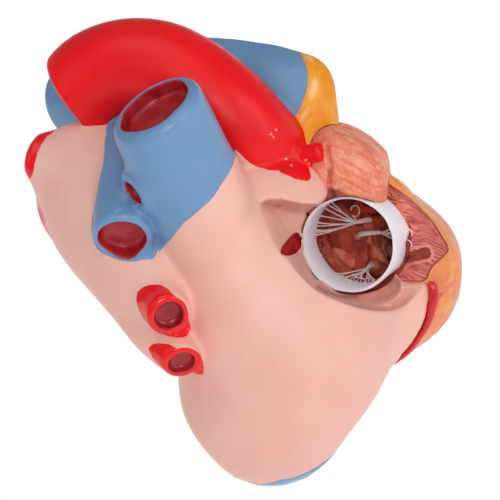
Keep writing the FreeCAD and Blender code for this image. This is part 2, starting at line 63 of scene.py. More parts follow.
def on_plane(u, v, up=0.0):
    w = P0[2] - (N[0] * (u - P0[0]) + N[1] * (v - P0[1])) / N[2]
    return np.array((u, v, w)) + N * up


def height(P):
    """Height over the valve plane, towards the atria."""
    return (P - P0) @ N


# ------------------------------------------------------------------ noise
RNG = np.random.RandomState(20451)
LATTICE = RNG.rand(32, 32, 32) * 2 - 1


def noise(P, scale, seed=0):
    """Smooth value noise in -1..1; scale is the cell size in mm."""
    q = P / scale + np.array((11.3, 5.7, 23.1)) * (seed + 1)
    i = np.floor(q).astype(int)
    f = q - i
    f = f * f * (3 - 2 * f)
    i &= 31
    j = (i + 1) & 31
    x, y, z = f[:, 0], f[:, 1], f[:, 2]
    L = LATTICE
    a = L[i[:, 0], i[:, 1], i[:, 2]] * (1 - x) + L[j[:, 0], i[:, 1], i[:, 2]] * x
    b = L[i[:, 0], j[:, 1], i[:, 2]] * (1 - x) + L[j[:, 0], j[:, 1], i[:, 2]] * x
    c = L[i[:, 0], i[:, 1], j[:, 2]] * (1 - x) + L[j[:, 0], i[:, 1], j[:, 2]] * x
    d = L[i[:, 0], j[:, 1], j[:, 2]] * (1 - x) + L[j[:, 0], j[:, 1], j[:, 2]] * x
    return (a * (1 - y) + b * y) * (1 - z) + (c * (1 - y) + d * y) * z


def rough_noise(P, scale, seed=0):
    return noise(P, scale, seed) * 0.6 + noise(P, scale * 0.47, seed + 3) * 0.3 + noise(P, scale * 0.21, seed + 7) * 0.15


# ------------------------------------------------------------------ fields
def smin(a, b, k):
    h = np.clip(0.5 + 0.5 * (b - a) / k, 0, 1)
    return b + (a - b) * h - k * h * (1 - h)


def smax(a, b, k):
    return -smin(-a, -b, k)


def sphere(P, c, r):
    return np.linalg.norm(P - np.asarray(c), axis=1) - r


def axes_for(axis):
    az = unit(axis)
    ax = unit(np.cross((0, 1, 0), az))
    return np.array([ax, np.cross(az, ax), az])


def ellipsoid(P, c, semi, axes=None):
    q = P - np.asarray(c)
    if axes is not None:
        q = q @ axes.T
    s = np.asarray(semi, float)
    k0 = np.linalg.norm(q / s, axis=1)
    k1 = np.linalg.norm(q / (s * s), axis=1)
    return k0 * (k0 - 1.0) / np.maximum(k1, 1e-9)


def cylinder(P, c, axis, r):
    q = P - np.asarray(c)
    a = unit(axis)
    t = q @ a
    return np.sqrt(np.maximum((q * q).sum(1) - t * t, 0)) - r


def plane(P, c, n):
    return (P - np.asarray(c)) @ unit(n)


class Tube:
    """Round tube of changing radius along a smooth path."""

    def __init__(self, path, radii, n=60):
        p = np.asarray(path, float)
        r = np.asarray(radii, float)
        if len(p) == 2:
            p = np.array([p[0], (p[0] + p[1]) / 2, p[1]])
            r = np.array([r[0], (r[0] + r[1]) / 2, r[1]])
        d = np.concatenate([[0], np.cumsum(np.linalg.norm(np.diff(p, axis=0), axis=1))])
        t = np.linspace(0, d[-1], n)
        self.c = np.stack([self.curve(d, p[:, k], t) for k in range(3)], 1)
        self.r = self.curve(d, r, t)
        self.lo = (self.c - self.r[:, None]).min(0)
        self.hi = (self.c + self.r[:, None]).max(0)

    @staticmethod
    def curve(d, y, t):
        """Natural-looking cubic through the points: Hermite pieces with central slopes."""
        m = np.gradient(y, d)
        i = np.clip(np.searchsorted(d, t, side="right") - 1, 0, len(d) - 2)
        h = d[i + 1] - d[i]
        s = (t - d[i]) / h
        return ((2 * s ** 3 - 3 * s ** 2 + 1) * y[i] + (s ** 3 - 2 * s ** 2 + s) * h * m[i]
                + (-2 * s ** 3 + 3 * s ** 2) * y[i + 1] + (s ** 3 - s ** 2) * h * m[i + 1])

    def __call__(self, P, margin=9.0, want_t=False):
        out = np.empty(len(P))
        along = np.zeros(len(P))
        gap = np.maximum(np.maximum(self.lo - P, P - self.hi), 0)
        far = np.linalg.norm(gap, axis=1)
        near = far < margin
        out[~near] = far[~near]
        Q = P[near]
        if len(Q):
            res = np.empty(len(Q))
            tt = np.empty(len(Q))
            c, r = self.c, self.r
            cc = (c * c).sum(1)
            for s in range(0, len(Q), 60000):
                q = Q[s:s + 60000]
                d2 = (q * q).sum(1)[:, None] - 2 * q @ c.T + cc[None]
                k = np.argmin(np.sqrt(np.maximum(d2, 0)) - r[None], 1)
                best = np.full(len(q), 1e9)
                bt = np.zeros(len(q))
                for a in (np.clip(k - 1, 0, len(c) - 2), np.clip(k, 0, len(c) - 2)):
                    e = c[a + 1] - c[a]
                    f = np.clip(((q - c[a]) * e).sum(1) / (e * e).sum(1), 0, 1)
                    dd = np.linalg.norm(q - c[a] - e * f[:, None], axis=1) - (r[a] + (r[a + 1] - r[a]) * f)
                    m = dd < best
                    best[m] = dd[m]
                    bt[m] = (a + f)[m]
                res[s:s + 60000] = best
                tt[s:s + 60000] = bt
            out[near] = res
            along[near] = tt / (len(c) - 1)
        return (out, along) if want_t else out


# ------------------------------------------------------------------ surface of a field
def mesh_field(f, lo, hi, h, name=""):
    """Dual contouring: crisp at edges, even elsewhere. Returns vertices (mm) and quads."""
    lo = np.asarray(lo, float)
    hi = np.asarray(hi, float)
    B = 4
    H = h * B
    nb = np.ceil((hi - lo) / H).astype(int)
    gx, gy, gz = [lo[k] + np.arange(nb[k] + 1) * H for k in range(3)]
    C = np.stack(np.meshgrid(gx, gy, gz, indexing="ij"), -1).reshape(-1, 3)
    F = f(C).reshape(nb + 1)
    near = np.zeros(nb, bool)
    reach = H * 1.05
    corner_min = np.full(nb, 1e9)
    corner_lo = np.full(nb, 1e9)
    corner_hi = np.full(nb, -1e9)
    for a in (0, 1):
        for b in (0, 1):
            for c in (0, 1):
                v = F[a:nb[0] + a, b:nb[1] + b, c:nb[2] + c]
                corner_min = np.minimum(corner_min, np.abs(v))
                corner_lo = np.minimum(corner_lo, v)
                corner_hi = np.maximum(corner_hi, v)
    near = (corner_min < reach) | ((corner_lo < 0) & (corner_hi > 0))
    n = nb * B + 1
    G = np.repeat(np.repeat(np.repeat(F[:-1, :-1, :-1], B, 0), B, 1), B, 2)
    G = np.pad(G, ((0, 1), (0, 1), (0, 1)), mode="edge")
    G = np.where(G > 0, 9.0, -9.0)
    mask = np.zeros(n, bool)
    k = np.argwhere(near) * B
    for a in range(B + 1):
        for b in range(B + 1):
            for c in range(B + 1):
                mask[k[:, 0] + a, k[:, 1] + b, k[:, 2] + c] = True
    idx = np.argwhere(mask)
    G[idx[:, 0], idx[:, 1], idx[:, 2]] = f(lo + idx * h)
    sign = G < 0
    edges = []
    for ax in range(3):
        s0 = [slice(None)] * 3
        s1 = [slice(None)] * 3
        s0[ax] = slice(0, -1)
        s1[ax] = slice(1, None)
        e = np.argwhere((sign[tuple(s0)] != sign[tuple(s1)]) & mask[tuple(s0)] & mask[tuple(s1)])
        # keep clear of the box's rim so that every edge has its four cells
        o = [k for k in range(3) if k != ax]
        e = e[(e[:, o[0]] > 0) & (e[:, o[1]] > 0) & (e[:, o[0]] < n[o[0]] - 1) & (e[:, o[1]] < n[o[1]] - 1)]
        edges.append(e)
    cross, inside, axis_of = [], [], []
    for ax, e in enumerate(edges):
        g = e.copy()
        g[:, ax] += 1
        a = G[e[:, 0], e[:, 1], e[:, 2]]
        b = G[g[:, 0], g[:, 1], g[:, 2]]
        t = a / (a - b)
        p = lo + e * h
        p[:, ax] += t * h
        cross.append(p)
        inside.append(a < 0)
        axis_of.append(np.full(len(e), ax))
    X = np.concatenate(cross)
    ins = np.concatenate(inside)
    axs = np.concatenate(axis_of)
    E = np.concatenate(edges)
    if len(X) == 0:
        raise RuntimeError("empty field " + name)
    # one false-position step along the edge puts the crossing on the true surface
    fx = f(X)
    base = lo + E * h
    low = G[E[:, 0], E[:, 1], E[:, 2]]
    E1 = E.copy()
    E1[np.arange(len(E)), axs] += 1
    high = G[E1[:, 0], E1[:, 1], E1[:, 2]]
    t = X[np.arange(len(X)), axs] - base[np.arange(len(X)), axs]
    same = (fx < 0) == (low < 0)
    ta = np.where(same, t, 0.0)
    fa = np.where(same, fx, low)
    tb = np.where(same, h, t)
    fb = np.where(same, high, fx)
    den = fa - fb
    t2 = np.where(np.abs(den) > 1e-9, ta + (tb - ta) * fa / np.where(np.abs(den) > 1e-9, den, 1), t)
    X[np.arange(len(X)), axs] = base[np.arange(len(X)), axs] + np.clip(t2, 0, h)
    eps = 0.02
    g0 = f(X)
    nrm = np.stack([f(X + np.eye(3)[k] * eps) - g0 for k in range(3)], 1) / eps
    nrm /= np.maximum(np.linalg.norm(nrm, axis=1, keepdims=True), 1e-9)
    # four cells round each edge
    o1 = (axs + 1) % 3
    o2 = (axs + 2) % 3
    cells = []
    for d1, d2 in ((0, 0), (1, 0), (1, 1), (0, 1)):
        c = E.copy()
        c[np.arange(len(E)), o1] -= d1
        c[np.arange(len(E)), o2] -= d2
        cells.append(c)
    m = n - 1
    flat = [c[:, 0] * m[1] * m[2] + c[:, 1] * m[2] + c[:, 2] for c in cells]
    used, inv = np.unique(np.concatenate(flat), return_inverse=True)
    inv = inv.reshape(4, -1)
    cnt = len(used)
    mass = np.zeros((cnt, 3))
    num = np.zeros(cnt)
    for q in range(4):
        num += np.bincount(inv[q], minlength=cnt)
        for k in range(3):
            mass[:, k] += np.bincount(inv[q], X[:, k], minlength=cnt)
    mass /= num[:, None]
    A = np.zeros((cnt, 3, 3))
    b = np.zeros((cnt, 3))
    for q in range(4):
        rel = X - mass[inv[q]]
        d = (nrm * rel).sum(1)
        for i in range(3):
            b[:, i] += np.bincount(inv[q], nrm[:, i] * d, minlength=cnt)
            for j in range(i, 3):
                s = np.bincount(inv[q], nrm[:, i] * nrm[:, j], minlength=cnt)
                A[:, i, j] += s
                if i != j:
                    A[:, j, i] += s
    A += np.eye(3) * 0.06
    V = mass + np.linalg.solve(A, b[:, :, None])[:, :, 0]
    ci = np.stack([used // (m[1] * m[2]), (used // m[2]) % m[1], used % m[2]], 1)
    cl = lo + ci * h
    V = np.clip(V, cl - 0.02 * h, cl + 1.02 * h)
    quads = inv.T.copy()
    flip = ins
    # orientation: from inside to outside along the edge's axis
    quads[~flip] = quads[~flip][:, ::-1]
    return V, quads


def shade_by_angle(me, degrees):
    me.shade_smooth()
    try:
        me.set_sharp_from_angle(angle=math.radians(degrees))
    except Exception:
        pass


PIECES = []
ZONES_OF = {}


def add_mesh(name, V, faces, body, material, replaces=(), attributes=None, angle=38.0, slot=None):
    me = bpy.data.meshes.new(name)
    co = to_row(V)
    if isinstance(faces, np.ndarray):
        k = faces.shape[1]
        me.vertices.add(len(co))
        me.vertices.foreach_set("co", co.astype(np.float32).ravel())
        me.loops.add(len(faces) * k)
        me.loops.foreach_set("vertex_index", faces.astype(np.int32).ravel())
        me.polygons.add(len(faces))
        me.polygons.foreach_set("loop_start", (np.arange(len(faces)) * k).astype(np.int32))
        me.update(calc_edges=True)
    else:
        me.from_pydata([tuple(c) for c in co], [], [tuple(f) for f in faces])
        me.update()
    me.validate()
    attributes = dict(attributes or {})
    for key in ZONES_OF.get(material.name, []):
        if key not in attributes:
            attributes[key] = np.full(len(co), 1.0 if key == "open" else -9.0)
    for key, values in attributes.items():
        a = me.attributes.new(key, "FLOAT", "POINT")
        a.data.foreach_set("value", np.asarray(values, np.float32))
    shade_by_angle(me, angle)
    ob = bpy.data.objects.new(name, me)
    bpy.context.scene.collection.objects.link(ob)
    me.materials.append(material)
    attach(ob, body)
    if replaces:
        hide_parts(*replaces)
    PIECES.append(ob)
    return ob


def field_piece(name, f, lo, hi, h, body, material, replaces=(), zones=None, angle=38.0, slot=None, cavity=None):
    t = time.time()
    V, Q = mesh_field(f, lo, hi, h, name)
    attributes = {}
    for key, z in (zones or {}).items():
        attributes[key] = z(V)
    # how open the form is round each point, which sets the painted crevice shade
    if cavity is not None:
        g = np.stack([f(V + np.eye(3)[k] * 0.3) - f(V - np.eye(3)[k] * 0.3) for k in range(3)], 1)
        g /= np.maximum(np.linalg.norm(g, axis=1, keepdims=True), 1e-9)
        attributes["open"] = np.clip(cavity(V + g * 2.5) / 2.5, 0, 1)
    ob = add_mesh(name, V, Q, body, material, replaces, attributes, angle, slot)
    print("%-34s %7d verts %7d quads  %.1fs" % (name, len(V), len(Q), time.time() - t))
    return ob


# ------------------------------------------------------------------ places seen from the front
def at(px, py, w):
    """Bench point at depth w that the front camera sees at this place of a 500 x 500 frame."""
    k = 0.3 * (CAMERA_MM - w) / CAMERA_MM
    return np.array(((px - 250.0) * k, (250.0 - py) * k, w))


def flat(pts):
    return np.array([((x - 250.0) * 0.3, (250.0 - y) * 0.3) for x, y in pts])


def seen(P):
    return P[:, :2] * (CAMERA_MM / (CAMERA_MM - P[:, 2]))[:, None]


def smooth_line(pts, n=60):
    p = np.asarray(pts, float)
    d = np.concatenate([[0], np.cumsum(np.linalg.norm(np.diff(p, axis=0), axis=1))])
    t = np.linspace(0, d[-1], n)
    return np.stack([Tube.curve(d, p[:, k], t) for k in range(p.shape[1])], 1)


def line_side(S, pts):
    """Signed distance to an open line, positive on its left; its ends run on straight."""
    p = np.asarray(pts, float)
    p = np.vstack([p[0] + (p[0] - p[1]) / np.linalg.norm(p[0] - p[1]) * 200, p,
                   p[-1] + (p[-1] - p[-2]) / np.linalg.norm(p[-1] - p[-2]) * 200])
    best = np.full(len(S), 1e9)
    sign = np.ones(len(S))
    for a, b in zip(p[:-1], p[1:]):
        e = b - a
        q = S - a
        t = np.clip((q @ e) / max(e @ e, 1e-12), 0, 1)
        d = np.linalg.norm(q - t[:, None] * e, axis=1)
        s = np.sign(e[0] * q[:, 1] - e[1] * q[:, 0])
        m = d < best - 1e-9
        best = np.where(m, d, best)
        sign = np.where(m, s, sign)
    return best * np.where(sign == 0, 1, sign)


def line_distance(S, pts):
    """Distance to an open line and how far along it (0..1)."""
    p = np.asarray(pts, float)
    best = np.full(len(S), 1e9)
    along = np.zeros(len(S))
    n = len(p) - 1
    for i, (a, b) in enumerate(zip(p[:-1], p[1:])):
        e = b - a
        q = S - a
        t = np.clip((q @ e) / max(e @ e, 1e-12), 0, 1)
        d = np.linalg.norm(q - t[:, None] * e, axis=1)
        m = d < best
        best = np.where(m, d, best)
        along = np.where(m, (i + t) / n, along)
    return best, along


def polygon(S, pts):
    """Signed distance to a closed outline, negative inside."""
    p = np.asarray(pts, float)
    best = np.full(len(S), 1e9)
    inside = np.zeros(len(S), bool)
    for a, b in zip(p, np.roll(p, -1, 0)):
        e = b - a
        q = S - a
        t = np.clip((q @ e) / max(e @ e, 1e-12), 0, 1)
        best = np.minimum(best, np.linalg.norm(q - t[:, None] * e, axis=1))
        c = ((a[1] > S[:, 1]) != (b[1] > S[:, 1]))
        with np.errstate(divide="ignore", invalid="ignore"):
            x = (b[0] - a[0]) * (S[:, 1] - a[1]) / (b[1] - a[1]) + a[0]
        inside ^= c & (S[:, 0] < x)
    return np.where(inside, -best, best)


def ramp(x, a, b):
    t = np.clip((x - a) / (b - a), 0, 1)
    return t * t * (3 - 2 * t)


# ------------------------------------------------------------------ vessels
class Vessel:
    """A tube cut square at its mouth (its last point), with a shallow lumen."""

    def __init__(self, path, radii, lumen, depth, lip=1.6, flute=0.0, seed=0, facing=None):
        p = [np.asarray(q, float) for q in path]
        self.mouth = p[-1]
        self.dir = unit(p[-1] - p[-2]) if facing is None else unit(facing)
        self.tube = Tube(p + [p[-1] + self.dir * radii[-1] * 1.3], list(radii) + [radii[-1]])
        self.lumen_r = lumen
        self.depth = depth
        self.lip = lip
        self.flute = flute
        self.seed = seed

    def body(self, P):
        return smax(self.tube(P), (P - self.mouth) @ self.dir, self.lip)

    def bore(self, P):
        q = P - self.mouth
        t = q @ self.dir
        r = np.sqrt(np.maximum((q * q).sum(1) - t * t, 0))
        wob = self.flute * noise(P, 4.5, self.seed) if self.flute else 0
        side = r - self.lumen_r - wob
        floor = -(t + self.depth) - 0.12 * (self.lumen_r - r)
        return smax(side, floor, 1.5)


AORTA_PATH = [(7.3, 17.5, -26), (7, 22, -17.5), (6.7, 26.5, -9), (0.4, 33.4, -2), (-7.2, 41.5, 1), (-17.3, 49.6, 1),
              (-26.2, 54.3, 0), (-36.9, 55.3, -2), (-46.4, 51.8, -4.6), (-52.6, 45.6, -7)]
aorta_v = Vessel(AORTA_PATH, [13.5, 13.5, 14, 14.2, 14.2, 14.2, 14.2, 14.3, 14.7, 14.7], 11.0, 7.0, 2.2, facing=(-0.79, -0.57, -0.25))
svc_v = Vessel([(-15.7, 15.7, 19.5), (-20.7, 26.6, 28.7), (-27.1, 40.5, 38)], [15.4, 14.8, 14.0], 10.7, 4.5, 3.4, 0.4, 4,
               facing=(-0.48, 0.71, 0.51))
SINUS = Tube([(-17.2, 18.4, 22), (-15.4, 14.5, 18.5), (-8.3, -2.4, 8), (0, -15, 0)], [14.6, 15.0, 17.5, 20.0])
ivc_v = Vessel([(7, -30, 2), (9, -44, -6), (10.2, -54, -16), (10.6, -59.5, -28)], [16, 17.2, 17.0, 15.9], 12.0, 7.0, 3.0)
pt_tube = Tube([(19, 27, -8), (17, 34, -11), (12.8, 46.2, -18.5), (1, 52.2, -25.5), (-13, 54.1, -29.5), (-32, 53.2, -33)],
               [10.5, 10.9, 14.8, 14.2, 13.5, 13.2])
lpa_v = Vessel([(-30, 53, -32.4), (-48.6, 49.4, -37.5), (-56.9, 47.0, -46)], [13.2, 13.1, 12.8], 9.2, 6.0, 2.6)
rpa_v = Vessel([(-31.4, 48.6, -27), (-35.6, 38.4, -14), (-36.5, 26.9, 2), (-36.4, 15.2, 15), (-36.6, 3.2, 26)],
               [9.5, 9.5, 9.3, 9.0, 8.9], 6.8, 3.4, 2.4, 0.3, 9)
azy_v = Vessel([(-25.0, 21.8, 26.6), (-33.0, 16.2, 30.8)], [5.9, 5.4], 3.5, 2.4, 2.2, 0.2, 2)
VEINS = {
    "right_superior_pulmonary_vein": Vessel([(-32, -9, 13), (-25.0, -15.8, 22.6), (-23.0, -18.8, 29.8)], [7.8, 6.9, 6.4], 4.05, 3.0, 2.2,
                                            0.3, 5, (0.25, -0.35, 0.9)),
    "right_inferior_pulmonary_vein": Vessel([(-31, -25, 12), (-23.6, -28.2, 17.6), (-19.6, -32.7, 23.4)], [7.2, 6.4, 5.9], 3.7, 2.6, 2.0,
                                            0.3, 6, (0.2, -0.62, 0.76)),
    "left_superior_pulmonary_vein": Vessel([(-52, 24, -2), (-66.8, 28.0, -3)], [9.8, 8.4], 5.4, 3.5, 2.6, 0.3, 7),
    "left_inferior_pulmonary_vein": Vessel([(-50, 14, -8), (-61.2, 9.2, -11.6)], [8.6, 7.2], 4.6, 3.5, 2.4, 0.3, 8),
}
# painted outlines of the pieces that open towards the front
OUTLINES = {
    "right_pulmonary_artery": [(105, 138), (104.5, 150), (103, 163), (99.5, 179), (95.5, 199.7), (92.5, 217), (91.3, 232), (93.6, 243), (99.5, 250.7),
                               (110, 256.8), (122, 260.8), (135.7, 261.5), (146, 259.5), (153, 260), (158, 256), (156, 240), (155, 224),
                               (156, 205), (170, 180), (170, 110), (112, 110)],
    "right_superior_pulmonary_vein": [(137.5, 292), (142, 287.5), (150, 285.6), (158, 285), (165, 287.5), (172, 295), (179, 305), (185.5, 315),
                                      (190, 326), (191, 334), (184, 337), (174, 337.3), (163, 334), (153, 327.5), (144, 318.5), (138.5, 308),
                                      (136.6, 299)],
    "right_inferior_pulmonary_vein": [(149, 349), (152, 345), (162, 344), (170, 345), (176, 349.5), (186, 350.5), (194, 352.5), (201, 358),
                                      (204, 368), (201.5, 377.5), (192.6, 381.5), (180.5, 381), (170, 376), (160, 367), (153, 358)],
    "left_superior_pulmonary_vein": [(54, 131), (46, 129), (34, 134), (26, 144), (20, 157), (20, 170), (30, 180), (33, 172), (34.5, 163),
                                     (38.5, 150), (44.5, 139.5)],
    "left_inferior_pulmonary_vein": [(38, 197.5), (30, 204), (31, 220), (40, 230), (49.5, 233), (47.5, 223), (43.5, 213), (41, 203)],
}
OUTLINES = {k: smooth_line(flat(v + v[:1]), 3 * len(v))[:-1] for k, v in OUTLINES.items()}
LA_SPINE = Tube([(-49.2, 23.7, -8), (-41.6, 8.4, -3), (-30.5, -5.8, 4), (-24, -20, 6)], [17.6, 18.7, 18.7, 15.5])
STUMP_A, STUMP_B = np.array((12.0, 27.5, 2.0)), np.array((21.6, 29.4, 6.4))
AXN = axes_for(N)

# ------------------------------------------------------------------ outflow tract
BULGE = np.array((29.3, 24.2, -5.0))
BULGE_UP = float((BULGE - P0) @ N)


def conus_form(P, grow=0.0):
    """Rounded block that stands up from the cut face, running down without end."""
    q = P - BULGE
    a = q @ AXN[0]
    b = q @ AXN[1]
    h = (q @ N)
    g = grow
    e1 = a * 0.53 + b * 0.848 - (10.6 + g)
    e2 = a - (12.6 + g)
    e3 = -b - (14.6 + g)
    e4 = -a - (9.6 + g)
    e5 = a * 0.78 - b * 0.62 - (15.5 + g)
    e6 = -a * 0.72 + b * 0.7 - (12.6 + g)
    side = smax(smax(smax(e1, e2, 5.0), smax(e3, e4, 7.0), 5.0), smax(e5, e6, 3.0), 2.5)
    up = np.maximum(h, 0)
    k0 = np.sqrt((a / (18 + g)) ** 2 + ((b + 0.5) / (20 + g)) ** 2 + (up / (12.3 + g)) ** 2)
    cap = (k0 - 1) * (12.3 + g)
    return smax(side, cap, 6.0)


CONUS_OUTLINE = np.vstack([smooth_line(flat([(326, 122), (333, 122.6), (342, 125), (350, 128.4), (362, 133.6), (374, 140.3), (381, 146), (386.2, 153),
                                             (388.4, 161), (389.2, 172), (390, 190), (391, 215)]), 24), flat([(391, 330), (250, 330), (250, 118)])])


def conus_solid(P):
    """The block itself, trimmed to its outline from the front."""
    return smax(conus_form(P, 1.1), polygon(seen(P), CONUS_OUTLINE), 3.2)


# ------------------------------------------------------------------ the window in the right atrium
RING_TOP = np.array((29.3, 1.6, 2.5))
RING_AXIS = unit((0.335, 0.185, -0.923))
RING_R, RING_H = 14.7, 12.8
RIM = smooth_line(flat([(266, 197.5), (259, 203), (260.5, 212), (264, 221), (268, 231), (272.5, 241), (279, 250), (287, 259.5), (295, 270),
                        (305, 281), (316, 290.5), (328, 297), (341, 302.3), (353, 306.5), (365, 309.7), (378, 311.3), (391, 311.3),
                        (402, 308.5), (411, 302), (418, 295), (431, 282)]), 70)
RIM_CLOSED = np.vstack([RIM, flat([(500, 262), (500, 120), (345, 150), (331, 193), (321, 204), (300, 203), (283, 199)])])
OPEN_SIDE = np.vstack([flat([(313, 120), (312, 167)]),
                       smooth_line(flat([(312, 167), (322, 174), (328, 184), (329.5, 193), (324, 201), (314, 209), (306, 214)]), 20),
                       flat([(330, 235), (390, 255)]),
                       smooth_line(flat([(394, 268), (399, 278), (411, 283.5), (421, 282), (428.5, 283.5), (430, 291), (429.5, 298.5), (427.8, 307),
                                         (426.3, 315.5), (423.5, 323.5), (416.5, 336), (409.5, 346.5), (402, 356), (401, 372)]), 46),
                       flat([(520, 372), (520, 120)])])
RIDGE = smooth_line(flat([(322, 296.5), (331, 300), (341, 302.7), (352, 304.7), (365, 306), (376, 306), (386, 303.5), (394, 299.5),
                          (399.5, 294), (402, 287), (401, 280.5), (397, 276)]), 50)
FLOOR_AT = [(264, 206, 12), (275, 206, 7), (290, 207, 3.5), (306, 208, 0), (318, 207, -3), (268, 225, 11.5), (282, 226, 6), (296, 228, 1.5),
            (276, 240, 10.5), (290, 244, 5), (299, 246, 1), (288, 256, 7), (298, 260, 1.5), (302, 271, 3.5), (311, 277, 0),
            (311, 284, 3.5), (323, 291, 3), (335, 297, 1.5), (348, 300, 0), (362, 299, -1.5), (378, 294, -2.5), (389, 285, -2.5),
            (380, 275, -4), (340, 250, -6), (360, 230, -6)]
FLOOR_XY = flat([(a, b) for a, b, c in FLOOR_AT])
FLOOR_W = np.array([c for a, b, c in FLOOR_AT], float)
_d = np.linalg.norm(FLOOR_XY[:, None] - FLOOR_XY[None], axis=2)
FLOOR_K = np.linalg.solve(np.sqrt(_d ** 2 + 9.0) + np.eye(len(_d)) * 0.05, FLOOR_W - FLOOR_W.mean())


def window_floor(S):
    """Depth w of the window's floor at a place seen from the front."""
    out = np.empty(len(S))
    for s in range(0, len(S), 100000):
        d = np.linalg.norm(S[s:s + 100000, None] - FLOOR_XY[None], axis=2)
        out[s:s + 100000] = np.sqrt(d ** 2 + 9.0) @ FLOOR_K
    w = np.clip(out + FLOOR_W.mean(), -9, 16)
    d, t = line_distance(S, RIDGE)
    outer = line_side(S, RIDGE[::-1])       # positive outside the ridge
    crest = 8.0 - 6.0 * t
    gate = ramp(t, 0.02, 0.2) * (1 - ramp(d, 7.0, 11.0))
    channel = crest - 2.3
    level = w + (channel - w) * ramp(outer, -0.6, 0.8) * gate
    return level + (crest - level) * np.exp(-(d / 1.15) ** 2) * gate


SURFACE = {}


def surface_at(S):
    """Depth w of the uncut atrium at a place seen from the front."""
    if "grid" not in SURFACE:
        gx, gy = np.arange(-18.0, 66.1, 1.4), np.arange(-42.0, 40.1, 1.4)
        X = np.stack(np.meshgrid(gx, gy, indexing="ij"), -1).reshape(-1, 2)
        w = np.full(len(X), 42.0)
        going = np.ones(len(X), bool)
        for _ in range(70):
            k = np.nonzero(going)[0]
            if not len(k):
                break
            q = np.column_stack([X[k] * ((CAMERA_MM - w[k]) / CAMERA_MM)[:, None], w[k]])
            v = atrial(q)["all"]
            w[k] -= np.maximum(v, 0.02) * 0.9
            going[k[(v < 0.03) | (w[k] < -14)]] = False
        SURFACE["grid"] = np.maximum(w, -14).reshape(len(gx), len(gy))
        SURFACE["lo"] = np.array((gx[0], gy[0]))
    G, lo = SURFACE["grid"], SURFACE["lo"]
    t = (S - lo) / 1.4
    i = np.clip(np.floor(t).astype(int), 0, np.array(G.shape) - 2)
    f = np.clip(t - i, 0, 1)
    x, y = i[:, 0], i[:, 1]
    return ((G[x, y] * (1 - f[:, 0]) + G[x + 1, y] * f[:, 0]) * (1 - f[:, 1])
            + (G[x, y + 1] * (1 - f[:, 0]) + G[x + 1, y + 1] * f[:, 0]) * f[:, 1])


def window_cut(P):
    """Negative where the window has been taken out of the atrium."""
    near = (P[:, 0] > -12) & (P[:, 1] > -38) & (P[:, 1] < 36)
    out = np.full(len(P), 20.0)
    if not near.any():
        return out
    Q = P[near]
    S = seen(Q)
    d_in = -polygon(S, RIM_CLOSED)
    u, v = S[:, 0], S[:, 1]
    floor = window_floor(S)
    surface = surface_at(S)
    ang = np.degrees(np.arctan2(v - 1.5, u - 29.4)) % 360
    reach = np.interp(ang, [0, 60, 110, 135, 150, 165, 200, 225, 262, 290, 330, 360], [4, 3, 2.4, 2.4, 4.0, 6.0, 5.0, 3.0, 2.6, 2.4, 2.6, 4])
    x = d_in / reach
    g = np.where(x < 1, np.maximum(1 - np.maximum(x, 0), 0) ** 1.9, 0)
    W = floor + (np.maximum(surface + 0.3, floor + 1.2) - floor) * g
    slope = 1.6 + 2.2 * np.clip(g, 0, 1)
    out[near] = np.clip(np.maximum((W - Q[:, 2]) / slope, -d_in), -20, 20)
    return out


def sinus_hole(P):
    """Bean-shaped opening in the window's floor, negative inside."""
    S = seen(P)
    q = S - flat([(291.5, 245.0)])[0]
    a, b = q @ unit((0.64, 0.77)), q @ unit((-0.77, 0.64))
    b = b - 0.055 * a * a + 0.35
    return (np.sqrt((a / 4.0) ** 2 + (b / 2.3) ** 2) - 1) * 2.4 + 0.10 * noise(P, 1.6, 31)


LOBE = Tube([at(313.5, 213.5, -2.6), at(318, 208.8, -1.8), at(323.5, 204.5, -1.0)], [1.3, 1.5, 1.3], 20)


def ring_clear(P):
    """Room that the ring needs while the upper section lifts away."""
    below = (P - RING_TOP) @ RING_AXIS + 1.2
    return np.maximum(np.minimum(cylinder(P, RING_TOP, N, RING_R + 0.5), cylinder(P, RING_TOP, RING_AXIS, RING_R + 0.6)), -below)


# ------------------------------------------------------------------ the upper section as one form
class Outline:
    """Distance outside a drawn outline seen from the front, worked out once on a fine grid."""

    def __init__(self, pts, step=0.6):
        self.lo, self.step = np.array((-82.0, -82.0)), step
        n = int(164 / step) + 2
        g = self.lo[0] + np.arange(n) * step
        S = np.stack(np.meshgrid(g, g, indexing="ij"), -1).reshape(-1, 2)
        self.G = polygon(S, pts).reshape(n, n)

    def __call__(self, P):
        t = (seen(P) - self.lo) / self.step
        i = np.clip(np.floor(t).astype(int), 0, self.G.shape[0] - 2)
        f = np.clip(t - i, 0, 1)
        x, y = i[:, 0], i[:, 1]
        G = self.G
        return ((G[x, y] * (1 - f[:, 0]) + G[x + 1, y] * f[:, 0]) * (1 - f[:, 1])
                + (G[x, y + 1] * (1 - f[:, 0]) + G[x + 1, y + 1] * f[:, 0]) * f[:, 1])


UPPER_OUTLINE = Outline(flat([(52, 126), (38, 135), (30, 144), (25.3, 153), (24, 162), (25.3, 171), (30.5, 180), (34.6, 189), (36, 198), (36.4, 207),
                              (38.4, 216), (42, 225), (47.5, 234), (53, 243), (58.5, 252), (65, 261), (72.3, 270), (80, 279), (88, 288),
                              (96, 297), (104, 306), (112, 315), (119, 324), (126, 333), (133, 342), (141.5, 351), (151.5, 360), (162, 369),
                              (172, 378), (178.3, 387), (180, 396), (182, 405), (184.8, 414), (188.4, 423), (193.2, 432), (199, 441),
                              (206, 450), (214, 459), (223.3, 468), (236, 477), (259, 485.5), (270, 486.6), (281, 486), (306.5, 477.5),
                              (319.5, 468.5), (329, 459), (336, 450), (342.5, 441), (349, 432), (356, 423), (362.8, 414), (369.5, 405),
                              (375.5, 396), (380.7, 387), (385.6, 378), (392, 369), (400, 360), (420, 352), (500, 350), (500, 0), (20, 0),
                              (20, 126)]))


